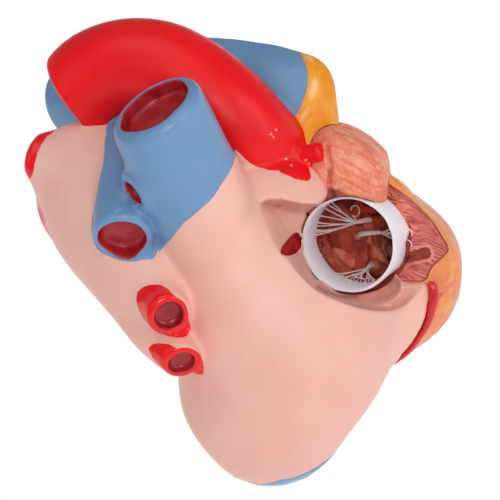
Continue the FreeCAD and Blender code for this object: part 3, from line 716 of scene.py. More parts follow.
def atrial(P):
    d = {}
    d["H"] = height(P)
    d["aorta"] = aorta_v.body(P)
    svc = svc_v.body(P)
    d["svc"] = svc
    d["rpa"] = rpa_v.body(P)
    q = P - (azy_v.mouth - azy_v.dir * 1.0)
    t = q @ azy_v.dir
    bead = np.sqrt((np.sqrt(np.maximum((q * q).sum(1) - t * t, 0)) - 4.9) ** 2 + t * t) - 1.45
    d["azy"] = smin(azy_v.body(P), bead, 1.0)
    d["ivc"] = ivc_v.body(P)
    # behind the parting plane the pulmonary trunk keeps the outline that it has there
    behind = (0.3 - d["H"]) / N[2]
    Q = P.copy()
    Q[:, 2] += np.where(P[:, 1] > 30, np.maximum(behind, 0), 0)
    d["lpa"] = lpa_v.body(Q)
    d["pt"] = smin(pt_tube(Q), sphere(Q, (18.0, 50.3, -15.5), 9.3), 4.0)
    ra = smin(ellipsoid(P, (11.4, -22.5, 0), (32.4, 38.6, 27.6)), ellipsoid(P, (5.2, -44.8, -3), (26.8, 26.5, 23.4)), 7.0)
    ra = smin(ra, SINUS(P), 9.0)
    ra = smin(ra, ellipsoid(P, (7.0, 14.5, -6), (19.8, 16.8, 19.8)), 8.0)
    ra = smin(ra, ellipsoid(P, (-2.0, -14, 4), (21.5, 27, 20.5)), 8.0)
    ra = smin(ra, ellipsoid(P, (33.5, -11.5, -8), (25.2, 24.5, 14.6)), 6.0)
    d["ra"] = ra
    la = smin(ellipsoid(P, (-23.9, 5.5, -12), (27, 29, 28)), LA_SPINE(P), 7.0)
    la = smin(la, ellipsoid(P, (-0.5, -4, -20), (26, 26.5, 23.5)), 6.0)
    d["la"] = la
    aur = ellipsoid(P, (-34, 31, -27), (15, 14, 8.5))
    d["aur"] = aur + 0.5 * noise(P, 5.0, 12)
    for k, v in VEINS.items():
        d[k] = v.body(P)
    f = smin(ra, la, 2.4)
    f = smin(f, d["ivc"], 5.0)
    f = smin(f, d["aur"], 2.0)
    for k in VEINS:
        f = smin(f, d[k], 3.4)
    blue = smin(svc, d["rpa"], 2.4)
    blue = smin(blue, d["azy"], 3.2)
    f = smin(f, blue, 3.0)
    d["stump"] = smax(Tube([STUMP_A, (STUMP_A + STUMP_B) / 2, STUMP_B + unit(STUMP_B - STUMP_A) * 2], [3.6, 2.9, 3.1], 30)(P),
                      plane(P, STUMP_B, STUMP_B - STUMP_A), 1.6)
    red = smin(d["aorta"], d["stump"], 2.0)
    f = smin(f, red, 1.4)
    pul = smin(d["pt"], d["lpa"], 3.0)
    f = smin(f, pul, 1.0)
    f = smax(f, UPPER_OUTLINE(P) - 0.3, 1.2)
    f = smax(f, 0.3 - d["H"], 0.4)
    back = smax(smax(pul, behind - 17.0 * ramp(P[:, 1], 34.0, 44.0), 7.0), UPPER_OUTLINE(P) - 0.3, 1.2)
    d["all"] = np.minimum(f, back)
    return d


BLUE_EDGE = smooth_line(flat([(237, 142), (236, 150), (235, 157), (233, 165), (228.5, 174), (222, 184), (213.5, 196.5), (206, 204.5), (197.5, 211.5),
                              (184.5, 223), (172, 237.6), (163, 248), (156.5, 257), (148, 265)]), 50)
RED_EDGE = smooth_line(flat([(228, 138), (236, 150), (243, 157), (250, 163), (257, 167), (266, 169.5), (276, 171), (284, 173.5), (291, 177),
                             (298, 179.5), (305, 181), (310, 179.5), (311.7, 174), (313, 167), (316, 162)]), 50)


IVC_EDGE = smooth_line(flat([(222, 471), (234, 475), (258, 478.5), (285, 478.5), (310, 470), (336, 452), (350, 440)]), 30)


def claims(P, d):
    """How strongly each vessel owns a point (negative: owns it), in order of precedence."""
    S = seen(P)
    c = {}
    c["azygos_vein"] = d["azy"] - 0.7
    c["right_coronary_stump"] = smax(d["stump"] - 0.6, plane(P, STUMP_A * 0.25 + STUMP_B * 0.75, STUMP_A - STUMP_B), 0.2)
    c["right_pulmonary_artery"] = np.maximum(d["rpa"] - 1.3, d["rpa"] - d["svc"])
    drawn = np.maximum(np.maximum(d["rpa"] - 2.4, d["rpa"] - d["svc"]), polygon(S, OUTLINES["right_pulmonary_artery"]) + 0.12 * noise(P, 3, 20))
    c["right_pulmonary_artery"] = np.where(P[:, 2] > 2, drawn, c["right_pulmonary_artery"])
    edge = line_side(S, BLUE_EDGE) + 0.14 * noise(P, 2.8, 21)
    blue = np.minimum(d["svc"], SINUS(P))
    c["superior_vena_cava"] = np.maximum(np.maximum(np.maximum(blue - 1.8, edge), 4 - P[:, 2]), d["svc"] - d["aorta"] - 0.4)
    front = line_side(S, RED_EDGE) * -1 + 0.22 * noise(P, 2.4, 22) + 0.08 * noise(P, 1.0, 23)
    on_front = ramp(P[:, 2], -6, 0)
    others = np.minimum(np.minimum(d["pt"], d["lpa"]), np.minimum(d["la"], d["aur"]))
    c["aorta"] = np.maximum(d["aorta"] - 1.6, d["aorta"] - others + 0.12 * noise(P, 2.6, 24))
    root = np.maximum(np.maximum(d["aorta"] - 3.2 - 5.0 * on_front, d["aorta"] - others),
                      front * on_front + (1 - on_front) * c["aorta"])
    c["aorta"] = np.where(P[:, 0] > -5, np.minimum(root, d["stump"] - 1.0), c["aorta"])
    c["left_pulmonary_artery"] = np.maximum(d["lpa"] - 1.0, P[:, 0] + 33)
    c["pulmonary_trunk"] = np.minimum(d["pt"] - 1.0, np.maximum(d["pt"] - 3.0, d["pt"] + 1.5 - np.minimum(np.minimum(d["la"], d["aur"]), d["ra"])))
    c["inferior_vena_cava"] = np.maximum(d["ivc"] - 9, line_side(S, IVC_EDGE) + 0.15 * noise(P, 3, 25))
    for k, v in VEINS.items():
        t = (P - v.mouth) @ v.dir
        drawn = polygon(S, OUTLINES[k]) + 0.16 * noise(P, 2.6, 26)
        behind = np.maximum(-t - (7.5 + 0.8 * noise(P, 3.5, 27)), P[:, 2] - (10 if k.startswith("right") else -5))
        c[k] = smin(np.maximum(d[k] - 3.8, np.minimum(drawn - 0.1, behind)), v.bore(P) - 1.6, 1.6)
    c["left_auricle"] = d["aur"] - 0.8
    c["left_atrium"] = d["la"] - d["ra"]
    return c


ORDER = ["azygos_vein", "right_coronary_stump", "right_pulmonary_artery", "superior_vena_cava", "aorta", "left_pulmonary_artery",
         "pulmonary_trunk", "inferior_vena_cava"] + list(VEINS) + ["left_auricle", "left_atrium"]
BORES = {"azygos_vein": azy_v, "right_pulmonary_artery": rpa_v, "superior_vena_cava": svc_v, "aorta": aorta_v,
         "left_pulmonary_artery": lpa_v, "inferior_vena_cava": ivc_v}
BORES.update(VEINS)


def atrial_piece(name):
    def f(P):
        d = atrial(P)
        c = claims(P, d)
        under = np.full(len(P), -9.0)
        own = None
        for k in ORDER:
            if k == name:
                own = c[k]
                break
            under = np.maximum(under, -c[k])
        # dips a little under its neighbours, so that no gap shows along a seam
        out = np.maximum(d["all"] + 0.4 * np.clip(under, 0, 1), under - 0.8)
        if own is not None:
            out = np.maximum(out, own)
        for k in ORDER:
            if k == name:
                break
            if k in BORES:
                out = np.maximum(out, -BORES[k].bore(P) - 0.1)
        if name in BORES:
            out = smax(out, -BORES[name].bore(P), 0.9)
        if name == "pulmonary_trunk":
            out = np.maximum(out, 0.3 - conus_solid(P))
            out = np.where(height(P) < 0.3, np.maximum(out, 0.6 - ventricles(P)["con"]), out)
        if name in ("aorta", "right_coronary_stump"):
            out = np.maximum(out, -conus_form(P, 0.7))
        if name == "right_atrium":
            cut = window_cut(P)
            out = smax(out, -cut, 1.0)
            S = seen(P)
            side = polygon(S, OPEN_SIDE)
            out = smax(out, -side, 1.4)
            out = smax(out, -ring_clear(P), 0.8)
            out = smax(out, -conus_form(P, 0.7), 0.8)
            hole = np.maximum(sinus_hole(P), (window_floor(S) - 4.0 - P[:, 2]) * 0.7)
            out = smax(out, -hole, 0.5)
        return out
    return f


# ------------------------------------------------------------------ the lower section
APEX = np.array((47.0, 2.0, -84.0))
LV_C, LV_S = np.array((0.0, -3.0, -21.0)), (27.0, 28.0, 80.0)
RV_C, RV_S = np.array((30.5, -9.2, -9.5)), (33.9, 29.3, 76.0)
LV_AX, RV_AX = axes_for(APEX - LV_C), axes_for(APEX - RV_C)
FACE = smooth_line(flat([(384, 177), (390.5, 185), (399, 190.5), (409, 198), (417, 205), (424, 212), (431, 219), (437, 227.5), (443, 237.7),
                         (447.5, 245.4), (448.5, 249.8), (446, 254), (441, 259), (435.5, 264), (431, 269), (429, 274), (427, 279), (421, 282)]), 60)
FACE_CLOSED = np.vstack([FACE, flat([(398, 281), (380, 270), (330, 240), (330, 180)])])


def lv_form(P, grow=0.0):
    return ellipsoid(P, LV_C, [s + grow for s in LV_S], LV_AX)


def rv_form(P, grow=0.0):
    return ellipsoid(P, RV_C, [s + grow for s in RV_S], RV_AX)


def fibres(P, direction, pitch, warp, seed):
    """Wavy ridges running along a direction in the picture plane, -1..1."""
    d = unit(np.asarray(direction, float))
    n = np.array((-d[1], d[0]))
    t = P[:, 0] * n[0] + P[:, 1] * n[1]
    s = P[:, 0] * d[0] + P[:, 1] * d[1]
    Q = np.stack([s * 0.55, t, P[:, 2] * 0.6], 1)
    w = warp * noise(Q, 2.6, seed) + 0.5 * warp * noise(Q, 1.2, seed + 1)
    cutoff = 0.6 + 0.4 * noise(np.stack([s * 0.8, t * 1.4, P[:, 2]], 1), 2.0, seed + 2)
    return np.sin((t + w) * 2 * math.pi / pitch) * cutoff


def strokes(P, seed, along=(0.86, -0.5), size=2.4, stretch=3.6):
    d = unit(np.asarray(along, float))
    n = np.array((-d[1], d[0]))
    Q = np.stack([(P[:, 0] * d[0] + P[:, 1] * d[1]) / stretch, P[:, 0] * n[0] + P[:, 1] * n[1], P[:, 2] * 0.8], 1)
    return noise(Q, size, seed) * 0.65 + noise(Q, size * 0.45, seed + 1) * 0.35


def ring_seat(P, outer=RING_R + 0.7):
    """The ledge the ring stands on and the bore through it."""
    q = P - RING_TOP
    t = q @ RING_AXIS
    r = np.sqrt(np.maximum((q * q).sum(1) - t * t, 0))
    seat = np.maximum(np.maximum(r - outer, t - (RING_H - 0.4)), -t - 6)
    bore = np.maximum(np.maximum(r - (RING_R - 0.95), t - RING_H - 12), -t - 6)
    return np.minimum(seat, bore)


BUNDLES = []
_r = np.random.RandomState(77)
for _i in range(15):
    _a = np.array((24 + 30 * _r.rand(), -24 + 40 * _r.rand(), -20 - 22 * _r.rand()))
    _t = unit((_r.rand() - 0.25, 1.3 * (_r.rand() - 0.35), -0.5 + 0.7 * (_r.rand() - 0.5)))
    _l = 12 + 12 * _r.rand()
    _m = _a + _t * _l * 0.5 + (_r.rand(3) - 0.5) * 5
    BUNDLES.append(Tube([_a, _m, _a + _t * _l], [1.5 + _r.rand(), 1.0 + 0.6 * _r.rand(), 1.6 + _r.rand()], 24))
for _p in ([at(330, 258, -24), at(340, 268, -21), at(346, 284, -22)], [at(322, 246, -22), at(334, 256, -20), at(352, 262, -27)],
           [at(334, 236, -30), at(342, 256, -27), at(338, 284, -24)], [at(350, 246, -32), at(352, 262, -29), at(360, 280, -26)],
           [at(352, 204, -22), at(366, 210, -20), at(386, 206, -22)], [at(350, 212, -26), at(372, 216, -24), at(392, 222, -24)],
           [at(376, 250, -26), at(384, 262, -24), at(392, 280, -26)]):
    BUNDLES.append(Tube(_p, [1.7, 1.3, 1.8], 24))


def rv_room(P):
    """The right ventricle's chamber, with a muscle-strapped wall."""
    H = height(P)
    room = smax(rv_form(P, -5.5), H + 5.0, 2.5)
    room = smax(room, -lv_form(P, 3.0), 3.0)
    room = smax(room, RV_OUTLINE(P) + 4.5, 3.0)
    near = np.abs(room) < 4.5
    if near.any():
        Q = P[near]
        W = Q + 2.2 * np.stack([noise(Q, 7, 41), noise(Q, 7, 42), noise(Q, 7, 43)], 1)
        ridges = 1 - np.abs(noise(W * np.array((1, 0.55, 0.7)), 5.0, 44)) * 2.6
        fine = 1 - np.abs(noise(W * np.array((0.8, 0.6, 1.0)), 2.2, 45)) * 2.4
        room[near] = room[near] + 1.7 * np.clip(ridges, -0.2, 1) + 0.45 * np.clip(fine, -0.4, 1)
    return room


PIT_LINE = flat([(395, 263), (404, 259), (414, 256), (425, 253.5)])


def pit_edge(P):
    """Distance outside the tapered hollow in the cut face, and how far along it."""
    d, t = line_distance(seen(P), PIT_LINE)
    return d - (1.2 + 0.3 * t), t


RV_OUTLINE = Outline(flat([(389.5, 172), (398.5, 180), (409.5, 189), (420.5, 198), (430, 207), (440, 216), (448.7, 225), (455.5, 234), (459.6, 243),
                           (461.7, 252), (462, 261), (461.7, 270), (460.8, 279), (459.7, 288), (458, 297), (455, 306), (450.5, 315),
                           (444.5, 324), (436, 333), (424, 342), (412.5, 351), (400, 360), (392, 378), (386, 400), (300, 470), (20, 470),
                           (20, 20), (389, 20)]))


def ventricles(P, roof=True):
    d = {}
    H = height(P)
    d["H"] = H
    top = H
    kk = 1.0 + 17.0 * ramp(-P[:, 1], 5.0, 14.0) * ramp(P[:, 0], 8, 20)
    lv = smax(lv_form(P), top, 1.0)
    rv_body = smin(rv_form(P), sphere(P, (42.6, 16.6, -9.5), 6.2), 5.0)
    rv_body = smax(rv_body, RV_OUTLINE(P) - 0.5, 2.2)
    kk = np.maximum(kk, 2.2)
    h = np.clip(0.5 + 0.5 * (top - rv_body) / kk, 0, 1)
    rv = rv_body + (top - rv_body) * h + kk * h * (1 - h)
    d["lv"], d["rv"] = lv, rv
    low = smax(ellipsoid(P, (22.5, 22, -18), (19.3, 17.8, 24)), top, 1.0)
    con = smin(conus_solid(P) + 24 * np.maximum(0, (-H - 14) / 14) ** 2, low, 3.0)
    con = smin(con, LOBE(P), 1.5)
    d["con"] = con
    f = smin(lv, rv, 3.5)
    d["all"] = smin(f, con, 1.6)
    return d


def vent_piece(name, room=None):
    def f(P):
        d = ventricles(P)
        H = d["H"]
        if name == "right_ventricle_face":
            region = np.maximum(np.maximum(d["rv"] - 1.5, d["con"] * -1 + 0.25), np.maximum(-2.6 - H, d["rv"] - d["lv"] - 3))
        elif name == "conus_arteriosus":
            region = np.maximum(d["con"] - 0.25, -60 - H)
        elif name == "right_ventricle":
            region = np.maximum(np.maximum(d["rv"] - d["lv"], 0.25 - d["con"]), -np.maximum(np.maximum(d["rv"] - 1.5, -2.6 - H), d["rv"] - d["lv"] - 3))
        else:
            region = np.maximum(np.maximum(d["lv"] - d["rv"], 0.25 - d["con"]), -np.maximum(np.maximum(d["rv"] - 1.5, -2.6 - H), d["rv"] - d["lv"] - 3))
        out = d["all"]
        S = seen(P)
        if name == "right_ventricle_face":
            inside = -polygon(S, FACE_CLOSED)
            m = ramp(inside, -0.2, 0.7)
            relief = 0.34 * fibres(P, (0.93, -0.36), 1.05, 1.3, 51) + 0.3 * noise(P, 3.0, 52)
            out = out + m * (0.62 - relief * ramp(inside, 0.0, 1.6)) * ramp(H, -1.6, -0.7)
            e, t = pit_edge(P)
            out = smax(out, -np.maximum(e, -(H + 1.7)), 0.6)
            lip = np.exp(-((e - 0.75) / 0.5) ** 2) * ramp(t, 0.25, 0.7) * ramp(inside, 0.5, 2.0)
            out = out - 0.6 * lip
        if name == "conus_arteriosus":
            out = out - 0.24 * strokes(P, 61) - 0.16 * noise(P, 3.4, 62) - 0.16 * strokes(P, 65, (0.8, -0.6), 0.9, 7.0)
            groove = line_distance(S, flat([(327, 148), (331, 168), (329, 186), (334, 198)]))[0]
            out = out + 0.7 * np.exp(-(groove / 0.8) ** 2) * ramp(H, 2, 6)
            lobes = polygon(S, flat([(331, 186), (346, 179), (362, 183), (368, 191), (352, 197), (336, 199)]))
            out = out - 0.55 * np.clip(-lobes, 0, 1.2)
        if name in ("left_ventricle", "right_ventricle"):
            out = out - 0.28 * strokes(P, 63, (0.35, -0.94), 4.0, 3.0) * ramp(-H, 1.0, 5.0)
        room_f = rv_room(P)
        for b in BUNDLES:
            room_f = smax(room_f, -b(P, 5.0), 1.6)
        out = smax(out, -room_f, 0.9)
        if name in ("left_ventricle",):
            out = np.maximum(out, -np.maximum(cylinder(P, on_plane(-3, -5), N, 11.5), -H - 9))
            out = np.maximum(out, -smax(lv_form(P, -9.0), H + 5.0, 3))
        if name in ("left_ventricle", "conus_arteriosus"):
            out = np.maximum(out, -np.maximum(cylinder(P, on_plane(7, 22), N, 9.0), -H - 14))
        out = smax(out, -ring_seat(P, RING_R + (0.1 if name == "conus_arteriosus" else 1.6 if name == "right_ventricle_face" else 0.7)), 0.6)
        out = np.maximum(out, -np.maximum(cylinder(P, MOUTH, UP, 6.55), (P - MOUTH) @ UP - 17))
        return np.maximum(out, region)
    return f


# ------------------------------------------------------------------ materials
def srgb(r, g, b):
    def lin(c):
        c = c / 255.0
        return c / 12.92 if c <= 0.04045 else ((c + 0.055) / 1.055) ** 2.4
    return (lin(r), lin(g), lin(b), 1.0)


class Look:
    """A painted surface: a base colour with soft mottling, zones laid over it and fine relief."""

    def __init__(self, name, colour, other=None, mottle=0.5, size=60.0, rough=(0.36, 0.46), specular=0.5, coat=0.0, coat_rough=0.2,
                 sub=0.0, bump=0.12, grain=900.0, sheen=0.0):
        m = bpy.data.materials.new(name)
        m.use_nodes = True
        self.m, self.t = m, m.node_tree
        nodes = self.t.nodes
        nodes.clear()
        self.zones = []
        self.out = nodes.new("ShaderNodeOutputMaterial")
        self.b = nodes.new("ShaderNodeBsdfPrincipled")
        self.t.links.new(self.b.outputs[0], self.out.inputs[0])
        self.co = nodes.new("ShaderNodeTexCoord")
        b = self.b.inputs
        b["Specular IOR Level"].default_value = specular
        b["IOR"].default_value = 1.48
        b["Coat Weight"].default_value = coat
        b["Coat Roughness"].default_value = coat_rough
        b["Sheen Weight"].default_value = sheen
        b["Subsurface Weight"].default_value = sub
        b["Subsurface Radius"].default_value = (1.0, 0.45, 0.3)
        b["Subsurface Scale"].default_value = 0.002
        n = self.noise(size, 3.0)
        first = self.mix(None, srgb(*colour), srgb(*(other or colour)))
        self.map(n.outputs["Fac"], 0.5 - 0.5 * (1 - mottle) - 0.0001, 0.5 + 0.5 * (1 - mottle) + 0.0001, first.inputs["Factor"])
        self.colour = first.outputs["Result"]
        r = self.noise(size * 2.3, 4.0)
        self.rough = self.map(r.outputs["Fac"], 0.3, 0.7, None, rough[0], rough[1])
        self.t.links.new(self.rough, b["Roughness"])
        self.bump = nodes.new("ShaderNodeBump")
        self.bump.inputs["Strength"].default_value = bump
        self.bump.inputs["Distance"].default_value = 0.0004
        g = self.noise(grain, 3.0)
        self.t.links.new(g.outputs["Fac"], self.bump.inputs["Height"])
        self.t.links.new(self.bump.outputs[0], b["Normal"])

    def noise(self, scale, detail=2.0, stretch=None, distortion=0.0):
        n = self.t.nodes.new("ShaderNodeTexNoise")
        n.inputs["Scale"].default_value = scale
        n.inputs["Detail"].default_value = detail
        n.inputs["Distortion"].default_value = distortion
        src = self.co.outputs["Object"]
        if stretch is not None:
            mp = self.t.nodes.new("ShaderNodeMapping")
            mp.inputs["Scale"].default_value = stretch
            self.t.links.new(src, mp.inputs[0])
            src = mp.outputs[0]
        self.t.links.new(src, n.inputs["Vector"])
        return n

    def mix(self, a, b_colour, c_colour, kind="MIX"):
        m = self.t.nodes.new("ShaderNodeMix")
        m.data_type = "RGBA"
        m.blend_type = kind
        if a is not None:
            self.t.links.new(a, m.inputs[6])
        elif b_colour is not None:
            m.inputs[6].default_value = b_colour
        m.inputs[7].default_value = c_colour
        return ColourMix(m)

    def map(self, src, a, b, dest=None, lo=0.0, hi=1.0):
        m = self.t.nodes.new("ShaderNodeMapRange")
        m.interpolation_type = "SMOOTHSTEP"
        m.inputs["From Min"].default_value = a
        m.inputs["From Max"].default_value = b
        m.inputs["To Min"].default_value = lo
        m.inputs["To Max"].default_value = hi
        self.t.links.new(src, m.inputs["Value"])
        if dest is not None:
            self.t.links.new(m.outputs[0], dest)
        return m.outputs[0]

    def zone(self, attribute, colour, other=None, edge=0.25, wander=0.5, size=900.0, mottle_size=400.0, amount=1.0, at_value=0.0):
        """Paints where the attribute is over at_value; the edge wanders by a little noise (attribute is in mm)."""
        nodes = self.t.nodes
        self.zones.append(attribute)
        a = nodes.new("ShaderNodeAttribute")
        a.attribute_name = attribute
        n = self.noise(size, 2.0)
        add = nodes.new("ShaderNodeMath")
        add.operation = "MULTIPLY_ADD"
        self.t.links.new(n.outputs["Fac"], add.inputs[0])
        add.inputs[1].default_value = wander
        self.t.links.new(a.outputs["Fac"], add.inputs[2])
        fac = self.map(add.outputs[0], at_value + wander / 2 - edge, at_value + wander / 2 + edge, None, 0.0, amount)
        c = self.mix(None, srgb(*colour), srgb(*(other or colour)))
        k = self.noise(mottle_size, 3.0)
        self.map(k.outputs["Fac"], 0.38, 0.62, c.inputs["Factor"])
        m = self.mix(self.colour, None, (1, 1, 1, 1))
        self.t.links.new(c.outputs["Result"], m.inputs["B"])
        self.t.links.new(fac, m.inputs["Factor"])
        self.colour = m.outputs["Result"]
        return fac

    def spots(self, scale, low, high, colour, amount=1.0, stretch=None, detail=3.0, distortion=0.0):
        n = self.noise(scale, detail, stretch, distortion)
        fac = self.map(n.outputs["Fac"], low, high, None, 0.0, amount)
        m = self.mix(self.colour, None, srgb(*colour))
        self.t.links.new(fac, m.inputs["Factor"])
        self.colour = m.outputs["Result"]

    def painted_crevice_shade(self, colour, amount=0.8, a=0.35, b=0.95):
        """Painted shade: darker where the form is closed in."""
        nodes = self.t.nodes
        self.zones.append("open")
        at_ = nodes.new("ShaderNodeAttribute")
        at_.attribute_name = "open"
        fac = self.map(at_.outputs["Fac"], a, b, None, amount, 0.0)
        m = self.mix(self.colour, None, srgb(*colour), "MULTIPLY")
        self.t.links.new(fac, m.inputs["Factor"])
        self.colour = m.outputs["Result"]

    def done(self):
        self.t.links.new(self.colour, self.b.inputs["Base Color"])
        ZONES_OF[self.m.name] = list(self.zones)
        return self.m


class ColourMix:
    """The colour sockets of a Mix node by name."""

    def __init__(self, node):
        self.node = node
        self.inputs = {"Factor": node.inputs[0], "A": node.inputs[6], "B": node.inputs[7]}
        self.outputs = {"Result": node.outputs[2]}


RED = (242, 10, 20)
RED_DEEP = (228, 6, 16)
BLUE = (111, 151, 192)
BLUE_DEEP = (102, 144, 186)
PINK = (242, 190, 176)
PINK_DEEP = (236, 178, 163)
LUMEN = (156, 20, 30)
LUMEN_LIGHT = (176, 40, 48)


def make_materials():
    M = {}
    k = Look("pink_paint", PINK, PINK_DEEP, 0.35, 55, (0.36, 0.46), 0.4, bump=0.05)
    # painted shade over the window's floor and in its creases, pocket and channel
    k.zone("painted_crease_shade", (218, 152, 134), (206, 136, 120), 1.5, 0.5, 300, 300, 0.8)
    # dark painted shade along the window's deepest lines
    k.zone("painted_deep_shade", (160, 84, 74), (142, 70, 62), 0.8, 0.4, 300, 300, 0.8)
    k.zone("hole", (196, 28, 42), (150, 12, 26), 0.2, 0.3, 1200, 500)
    M["pink"] = k.done()
    k = Look("red_paint", RED, RED_DEEP, 0.4, 70, (0.32, 0.44), 0.33, bump=0.06)
    k.zone("specks", (250, 190, 186), (250, 150, 146), 0.1, 0.3, 1500, 700, 0.8)
    k.zone("lumen", LUMEN, LUMEN_LIGHT, 0.12, 0.3, 900, 300)
    M["red"] = k.done()
    k = Look("vein_red_paint", RED, (232, 8, 18), 0.4, 90, (0.22, 0.34), 0.36, coat=0.2, coat_rough=0.18, bump=0.06)
    k.zone("lumen", LUMEN, LUMEN_LIGHT, 0.12, 0.3, 900, 300)
    M["vein_red"] = k.done()
    k = Look("blue_paint", BLUE, BLUE_DEEP, 0.45, 45, (0.26, 0.38), 0.45, bump=0.05)
    k.zone("yellow", (246, 164, 44), (240, 142, 28), 0.14, 0.5, 700, 160)
    # a paler cream band a little inside the yellow root's edge
    k.zone("pale_band", (252, 220, 168), (250, 206, 140), 0.7, 0.8, 700, 300, 0.55)
    k.zone("joint", (176, 150, 84), (150, 140, 110), 0.2, 0.3, 900, 300, 0.6)
    k.zone("lumen", LUMEN, LUMEN_LIGHT, 0.14, 0.4, 700, 220)
    M["blue"] = k.done()
    k = Look("conus_paint", (244, 150, 118), (236, 128, 92), 0.5, 200, (0.42, 0.56), 0.4, bump=0.4, grain=1500)
    k.zone("light", (250, 184, 158), (248, 172, 144), 0.5, 0.3, 900, 500, 0.6)
    k.zone("burnt", (228, 104, 66), (234, 120, 80), 0.4, 0.3, 900, 500, 0.6)
    k.spots(900, 0.55, 0.66, (222, 100, 66), 0.5, (1.0, 1.6, 1.2), 4.0, 0.6)
    k.spots(1400, 0.58, 0.68, (252, 204, 182), 0.5, (1.0, 3.0, 2.0), 3.0)
    # painted shade in the crevice under the conus's lower edge
    k.zone("gap_shade", (128, 50, 40), (150, 66, 52), 0.6, 0.9, 700, 500, 0.9)
    k.zone("room", (178, 62, 50), (134, 36, 30), 0.8, 0.8, 500, 240)
    # painted pool of light inside the chamber, seen through the ring
    k.zone("painted_light_pool", (255, 112, 64), (250, 84, 44), 0.7, 1.0, 500, 300, 0.95)
    k.painted_crevice_shade((176, 96, 82), 0.7)
    M["conus"] = k.done()
    k = Look("ventricle_paint", (240, 148, 108), (232, 126, 84), 0.5, 70, (0.38, 0.5), 0.45, bump=0.22, grain=1100)
    k.spots(150, 0.5, 0.7, (244, 170, 92), 0.8, (1.0, 1.0, 0.35), 3.0, 0.6)
    k.spots(420, 0.54, 0.66, (226, 104, 64), 0.5, (1.0, 1.0, 0.3), 3.0, 0.5)
    k.zone("fat", (244, 172, 88), (240, 152, 78), 1.6, 1.6, 420, 160, 0.85)
    k.zone("room", (200, 80, 62), (150, 46, 38), 0.3, 0.5, 500, 240)
    # painted highlight on the crests of the chamber's ridges and bundles
    k.zone("ridge_highlight", (250, 156, 126), (226, 114, 88), 0.35, 0.4, 600, 300, 0.85)
    # painted pool of light inside the chamber, seen through the ring
    k.zone("painted_light_pool", (255, 112, 64), (250, 84, 44), 0.7, 1.0, 500, 300, 0.95)
    k.painted_crevice_shade((150, 80, 74), 0.5)
    M["muscle"] = k.done()
    k = Look("cut_face_paint", (224, 128, 118), (214, 112, 104), 0.5, 240, (0.4, 0.52), 0.45, bump=0.25, grain=1500)
    k.zone("valley", (158, 52, 62), (172, 68, 72), 0.2, 0.2, 900, 400, 0.6)
    k.zone("crest", (234, 150, 140), (226, 136, 126), 0.2, 0.2, 900, 400, 0.6)
    k.zone("warm", (240, 142, 106), (230, 120, 88), 0.6, 0.9, 400, 260, 0.75)
    k.zone("shade", (160, 66, 70), (144, 54, 60), 0.5, 0.5, 500, 300, 0.6)
    k.zone("lip", (240, 164, 148), (232, 150, 136), 0.25, 0.2, 900, 400, 0.9)
    k.zone("rim", (242, 168, 86), (238, 146, 84), 0.25, 0.4, 500, 130)
    k.zone("skin", (240, 150, 104), (234, 130, 86), 1.3, 0.8, 420, 160, 0.9)
    k.zone("line", (150, 44, 56), (134, 36, 48), 0.22, 0.3, 900, 400, 0.8)
    # painted shade in the hollow and round the ring's foot, darkest deep in
    k.zone("pit_shade", (176, 66, 40), (150, 48, 30), 0.25, 0.4, 800, 500, 0.95)
    k.zone("pit_deep_shade", (96, 24, 18), (78, 16, 12), 0.7, 0.3, 800, 500, 0.95)
    M["face"] = k.done()
    k = Look("ring_fabric", (252, 250, 255), (243, 241, 250), 0.5, 400, (0.62, 0.78), 0.25, bump=0.35, grain=2600, sheen=0.15)
    M["ring"] = k.done()
    k = Look("strand_white", (232, 218, 214), (214, 196, 192), 0.5, 500, (0.34, 0.5), 0.45, bump=0.2, grain=2000)
    M["strand"] = k.done()
    k = Look("papillary_paint", (214, 112, 84), (196, 84, 62), 0.5, 300, (0.36, 0.5), 0.45, bump=0.3, grain=1400)
    k.spots(420, 0.55, 0.66, (236, 148, 116), 0.7, (1, 1, 0.5))
    M["papillary"] = k.done()
    k = Look("coronary_red", (222, 22, 34), (200, 14, 28), 0.5, 200, (0.2, 0.32), 0.5, coat=0.4, coat_rough=0.12, bump=0.08)
    M["coronary"] = k.done()
    k = Look("cardiac_vein_blue", BLUE, BLUE_DEEP, 0.5, 200, (0.26, 0.38), 0.5, bump=0.08)
    M["cardiac_vein"] = k.done()
    k = Look("valve_cusp_cream", (226, 206, 184), (214, 190, 166), 0.5, 250, (0.4, 0.52), 0.4, bump=0.1)
    M["cusp"] = k.done()
    k = Look("turned_brass", (196, 158, 92), (178, 138, 74), 0.5, 120, (0.26, 0.4), 0.5, bump=0.15, grain=1600)
    k.b.inputs["Metallic"].default_value = 1.0
    M["brass"] = k.done()
    k = Look("peg_plastic", (226, 222, 210), (214, 208, 196), 0.5, 200, (0.4, 0.5), 0.45, bump=0.08)
    M["peg"] = k.done()
    k = Look("magnet_steel", (170, 172, 176), (150, 152, 158), 0.5, 260, (0.25, 0.38), 0.5, bump=0.1, grain=1400)
    k.b.inputs["Metallic"].default_value = 1.0
    M["steel"] = k.done()
    k = Look("chamber_wall_red", (150, 52, 46), (124, 34, 34), 0.5, 160, (0.36, 0.5), 0.45, bump=0.3, grain=1200)
    M["chamber"] = k.done()
    return M


M = make_materials()
COARSE = 1.0
UPPER, LOWER = "atrial_section", "ventricle_section"


# ------------------------------------------------------------------ upper section
def reach_of(*groups):
    lo = np.min([np.min(np.asarray(c, float) - np.reshape(r, (-1, 1)), 0) for c, r in groups], 0)
    hi = np.max([np.max(np.asarray(c, float) + np.reshape(r, (-1, 1)), 0) for c, r in groups], 0)
    return lo - 3.0, hi + 3.0


def box_of(vessel):
    return vessel.tube.lo - 4.0, vessel.tube.hi + 4.0


def lumen_zone(vessel):
    return lambda P: np.clip(0.38 - vessel.bore(P), -9, 1.0)


def hole_zone(P):
    return np.where(P[:, 2] > -8, np.clip(-sinus_hole(P), -9, 2), -9.0)
